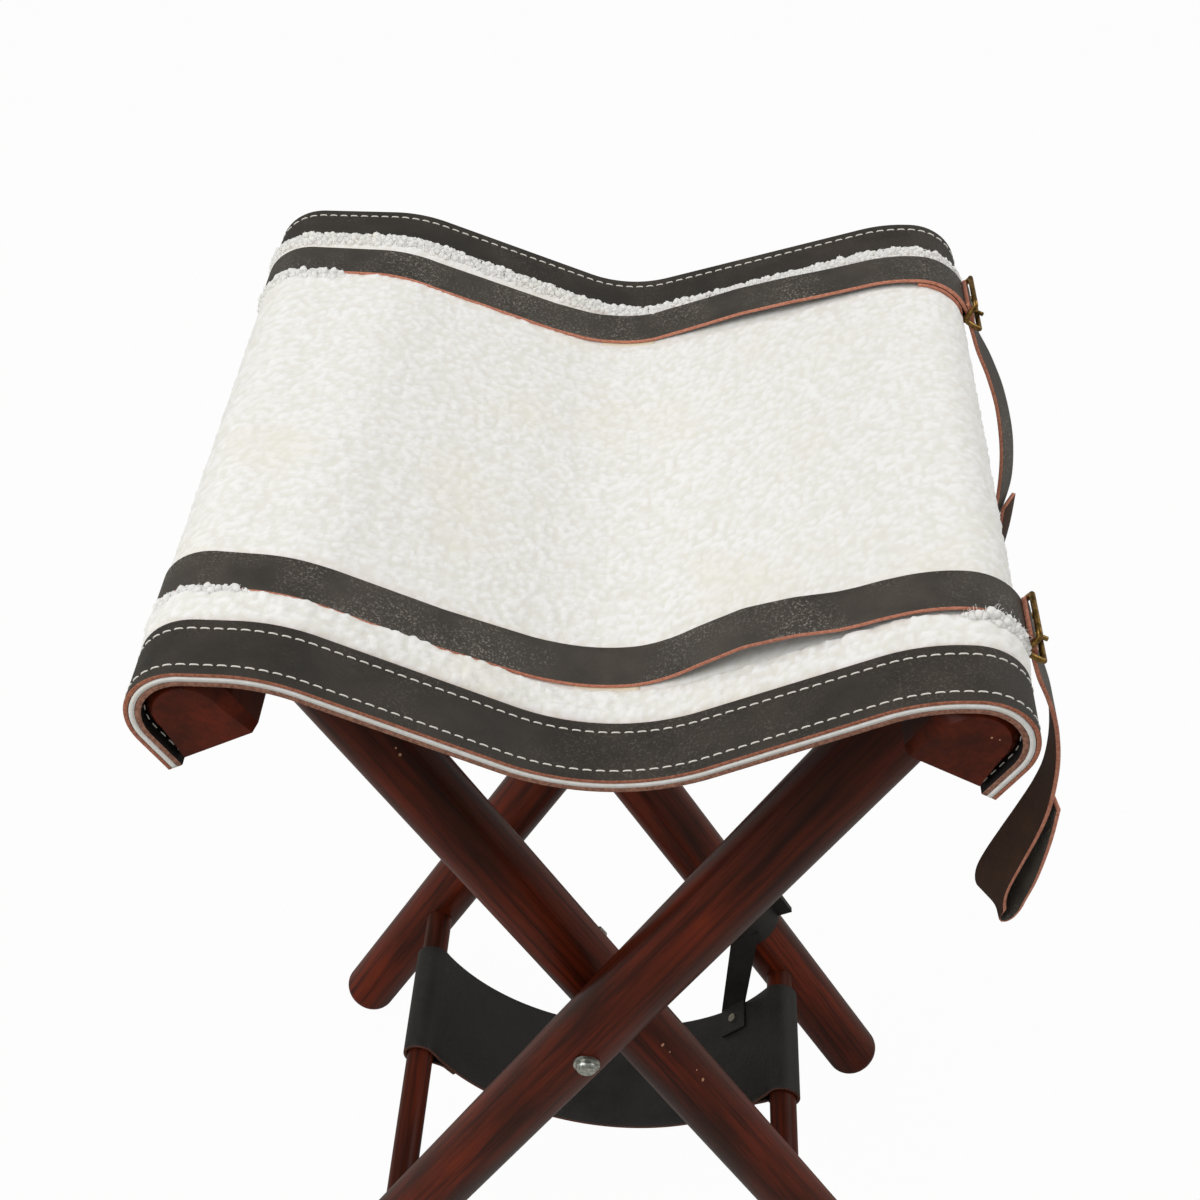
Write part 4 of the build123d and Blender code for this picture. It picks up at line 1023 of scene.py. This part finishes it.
# Buckles: rectangles of bent brass wire, aged to a brown gold. Their sides dip to the centre bar,
# which carries the strap's fold and the tongue.
brass = mottled(
    "antique_brass", "#57431F", "#A58249", (2.4, 5.0, 0.65), (0.36, 0.62), (0.3, 0.08), 0.52, 0.30
)
refinish(["tongue_front", "tongue_rear"], brass)

wire_radius = 1.15 * mm
bar_rise = 12.0 * mm
half_buckle = 7.3 * mm
side_y = 11.3 * mm
wire_corner = 2.6 * mm
ring_sides = 12
bar_rings = 5


def wire(centres, radius, closed):
    """The rings of a round wire about a line of points, as a grid for a strip."""
    if closed:
        forward = np.roll(centres, -1, axis=0) - np.roll(centres, 1, axis=0)
    else:
        forward = np.gradient(centres, axis=0)
    forward /= np.linalg.norm(forward, axis=-1, keepdims=True)
    outwards = np.array([math.sin(buckle_turn), 0, math.cos(buckle_turn)])
    aside = np.cross(forward, outwards)
    aside /= np.linalg.norm(aside, axis=-1, keepdims=True)
    up = np.cross(aside, forward)
    turns = np.linspace(0, 2 * math.pi, ring_sides, endpoint=False)[None, :, None]
    return centres[:, None] + radius * (aside[:, None] * np.cos(turns) + up[:, None] * np.sin(turns))


def ring_mesh(grid):
    """The points and faces of a wire that closes on itself."""
    rows, columns = grid.shape[:2]
    numbers = np.arange(rows * columns).reshape(rows, columns)
    after, below = np.roll(numbers, -1, axis=1), np.roll(numbers, -1, axis=0)
    faces = np.stack([numbers, after, np.roll(below, -1, axis=1), below], axis=-1).reshape(-1, 4)
    return grid.reshape(-1, 3).tolist(), faces.tolist()


for name, y in (("front", front_strap_y), ("rear", rear_strap_y)):
    outwards = np.array([math.sin(buckle_turn), 0, math.cos(buckle_turn)])
    downwards = np.array([math.cos(buckle_turn), 0, -math.sin(buckle_turn)])
    base = np.array([middle_x + rail_x, y, rail_z]) + outwards * rest_radius
    corners = []
    corner_x, corner_y = half_buckle - wire_corner, side_y - wire_corner
    for start, cx, cy in ((0, 1, 1), (90, -1, 1), (180, -1, -1), (270, 1, -1)):
        for turn in np.radians(np.linspace(start, start + 90, 7)):
            x = cx * corner_x + wire_corner * math.cos(turn)
            corners.append((x, cy * corner_y + wire_corner * math.sin(turn)))
        if cx == cy:
            between = np.linspace(cx * corner_x, -cx * corner_x, 9)[1:-1]
            corners += [(x, side_y * cy) for x in between]
    plan = np.array(corners)
    out_share = np.minimum(1, np.abs(plan[:, 0]) / (half_buckle - wire_corner / 2))
    dip = centre_bar_rise + (bar_rise - centre_bar_rise) * out_share**1.4
    centres = base + plan[:, :1] * downwards + plan[:, 1:] * np.array([0, 1, 0]) + dip[:, None] * outwards
    points, faces = ring_mesh(wire(centres, wire_radius, True))
    bar_places = np.linspace(-side_y, side_y, bar_rings)
    bar_line = base + bar_places[:, None] * np.array([0, 1, 0]) + centre_bar_rise * outwards
    bar_grid = wire(bar_line, centre_bar_radius, False)
    numbers = np.arange(bar_rings * ring_sides).reshape(bar_rings, ring_sides) + len(points)
    after = np.roll(numbers, -1, axis=1)
    quads = np.stack([numbers[:-1], after[:-1], after[1:], numbers[1:]], axis=-1)
    faces += quads.reshape(-1, 4).tolist()
    faces += [numbers[0, ::-1].tolist(), numbers[-1].tolist()]
    mesh = bpy.data.meshes.new(f"buckle_wire_{name}")
    mesh.from_pydata(points + bar_grid.reshape(-1, 3).tolist(), [], faces)
    mesh.shade_smooth()
    mesh.materials.append(brass)
    turn_out(mesh)
    buckle = new_piece(f"buckle_wire_{name}", mesh)
    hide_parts(f"buckle_{name}")
    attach(buckle, "outer_frame")

# Sling: one piece of black leather that hangs between the stretchers, with each end taken round
# its stretcher and back under itself. Its cut edges are brown.
stretcher_z = 108.4 * mm
stretcher_x = (pivot_z - stretcher_z) / math.tan(leg_angle)
sling_thickness = 2.0 * mm
sling_width = 69.0 * mm
sling_y = 22.0 * mm
sling_bottom = 57.0 * mm
sling_skew = math.radians(-4.7)
loop_radius = 8.8 * mm
loop_turn = math.radians(292.0)
lap_length = 16.0 * mm

sling_drop = loop_radius + sling_thickness / 2 + stretcher_z - sling_bottom
centre_up = (stretcher_x**2 - sling_drop**2) / (2 * sling_drop)
hang_radius = math.hypot(stretcher_x, centre_up) - loop_radius
half_hang = math.atan2(stretcher_x, centre_up)


def sling_half(side):
    """The sling's middle line from its lowest point to its lap, on one side."""
    points = []
    for turn in np.linspace(0, half_hang, 40)[:-1]:
        points.append((side * hang_radius * math.sin(turn), -hang_radius * math.cos(turn)))
    middle = np.array([side * stretcher_x, -centre_up])
    inwards = math.atan2(centre_up, -side * stretcher_x)
    for turn in np.linspace(0, loop_turn, 30):
        angle = inwards - side * turn
        points.append(tuple(middle + loop_radius * np.array([math.cos(angle), math.sin(angle)])))
    lap_radius = hang_radius + sling_thickness + 0.1 * mm
    for share in np.linspace(0.35, 1, 6):
        angle = half_hang - (loop_radius + lap_length * share) / lap_radius
        points.append((side * lap_radius * math.sin(angle), -lap_radius * math.cos(angle)))
    return np.array(points)


sling_line = np.concatenate([sling_half(-1)[:0:-1], sling_half(1)])
sling_centres = np.stack([
    middle_x + sling_line[:, 0],
    sling_y + sling_line[:, 0] * math.tan(sling_skew),
    stretcher_z + centre_up + sling_line[:, 1],
], axis=-1)
sling_leather = tanned_leather(
    "black_sling_leather", "#262420", "#181714", "#5C4C3E", 1.0 * mm, 0.52, painted_highlight_share=0.2
)
sling_edge = cut_edge("brown_cut_edge_of_sling", "#6E4232", "#472A20")
sling_skins = [sling_leather, sling_leather, sling_edge]
rows = section(sling_width, sling_thickness, 15)
sling_widths = np.tile([0.0, 1.0, 0.0], (len(sling_centres), 1))
sling = strip("sling", along_route(sling_centres, sling_widths, rows), rows[:, 2], sling_skins)
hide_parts("sling_left", "sling_right")
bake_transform(sling)

# Tie strap: a thong of the sling's leather, riveted to the sling's rear corner and taken round
# the inner rear leg.
refinish(["tie_strap"], sling_leather)
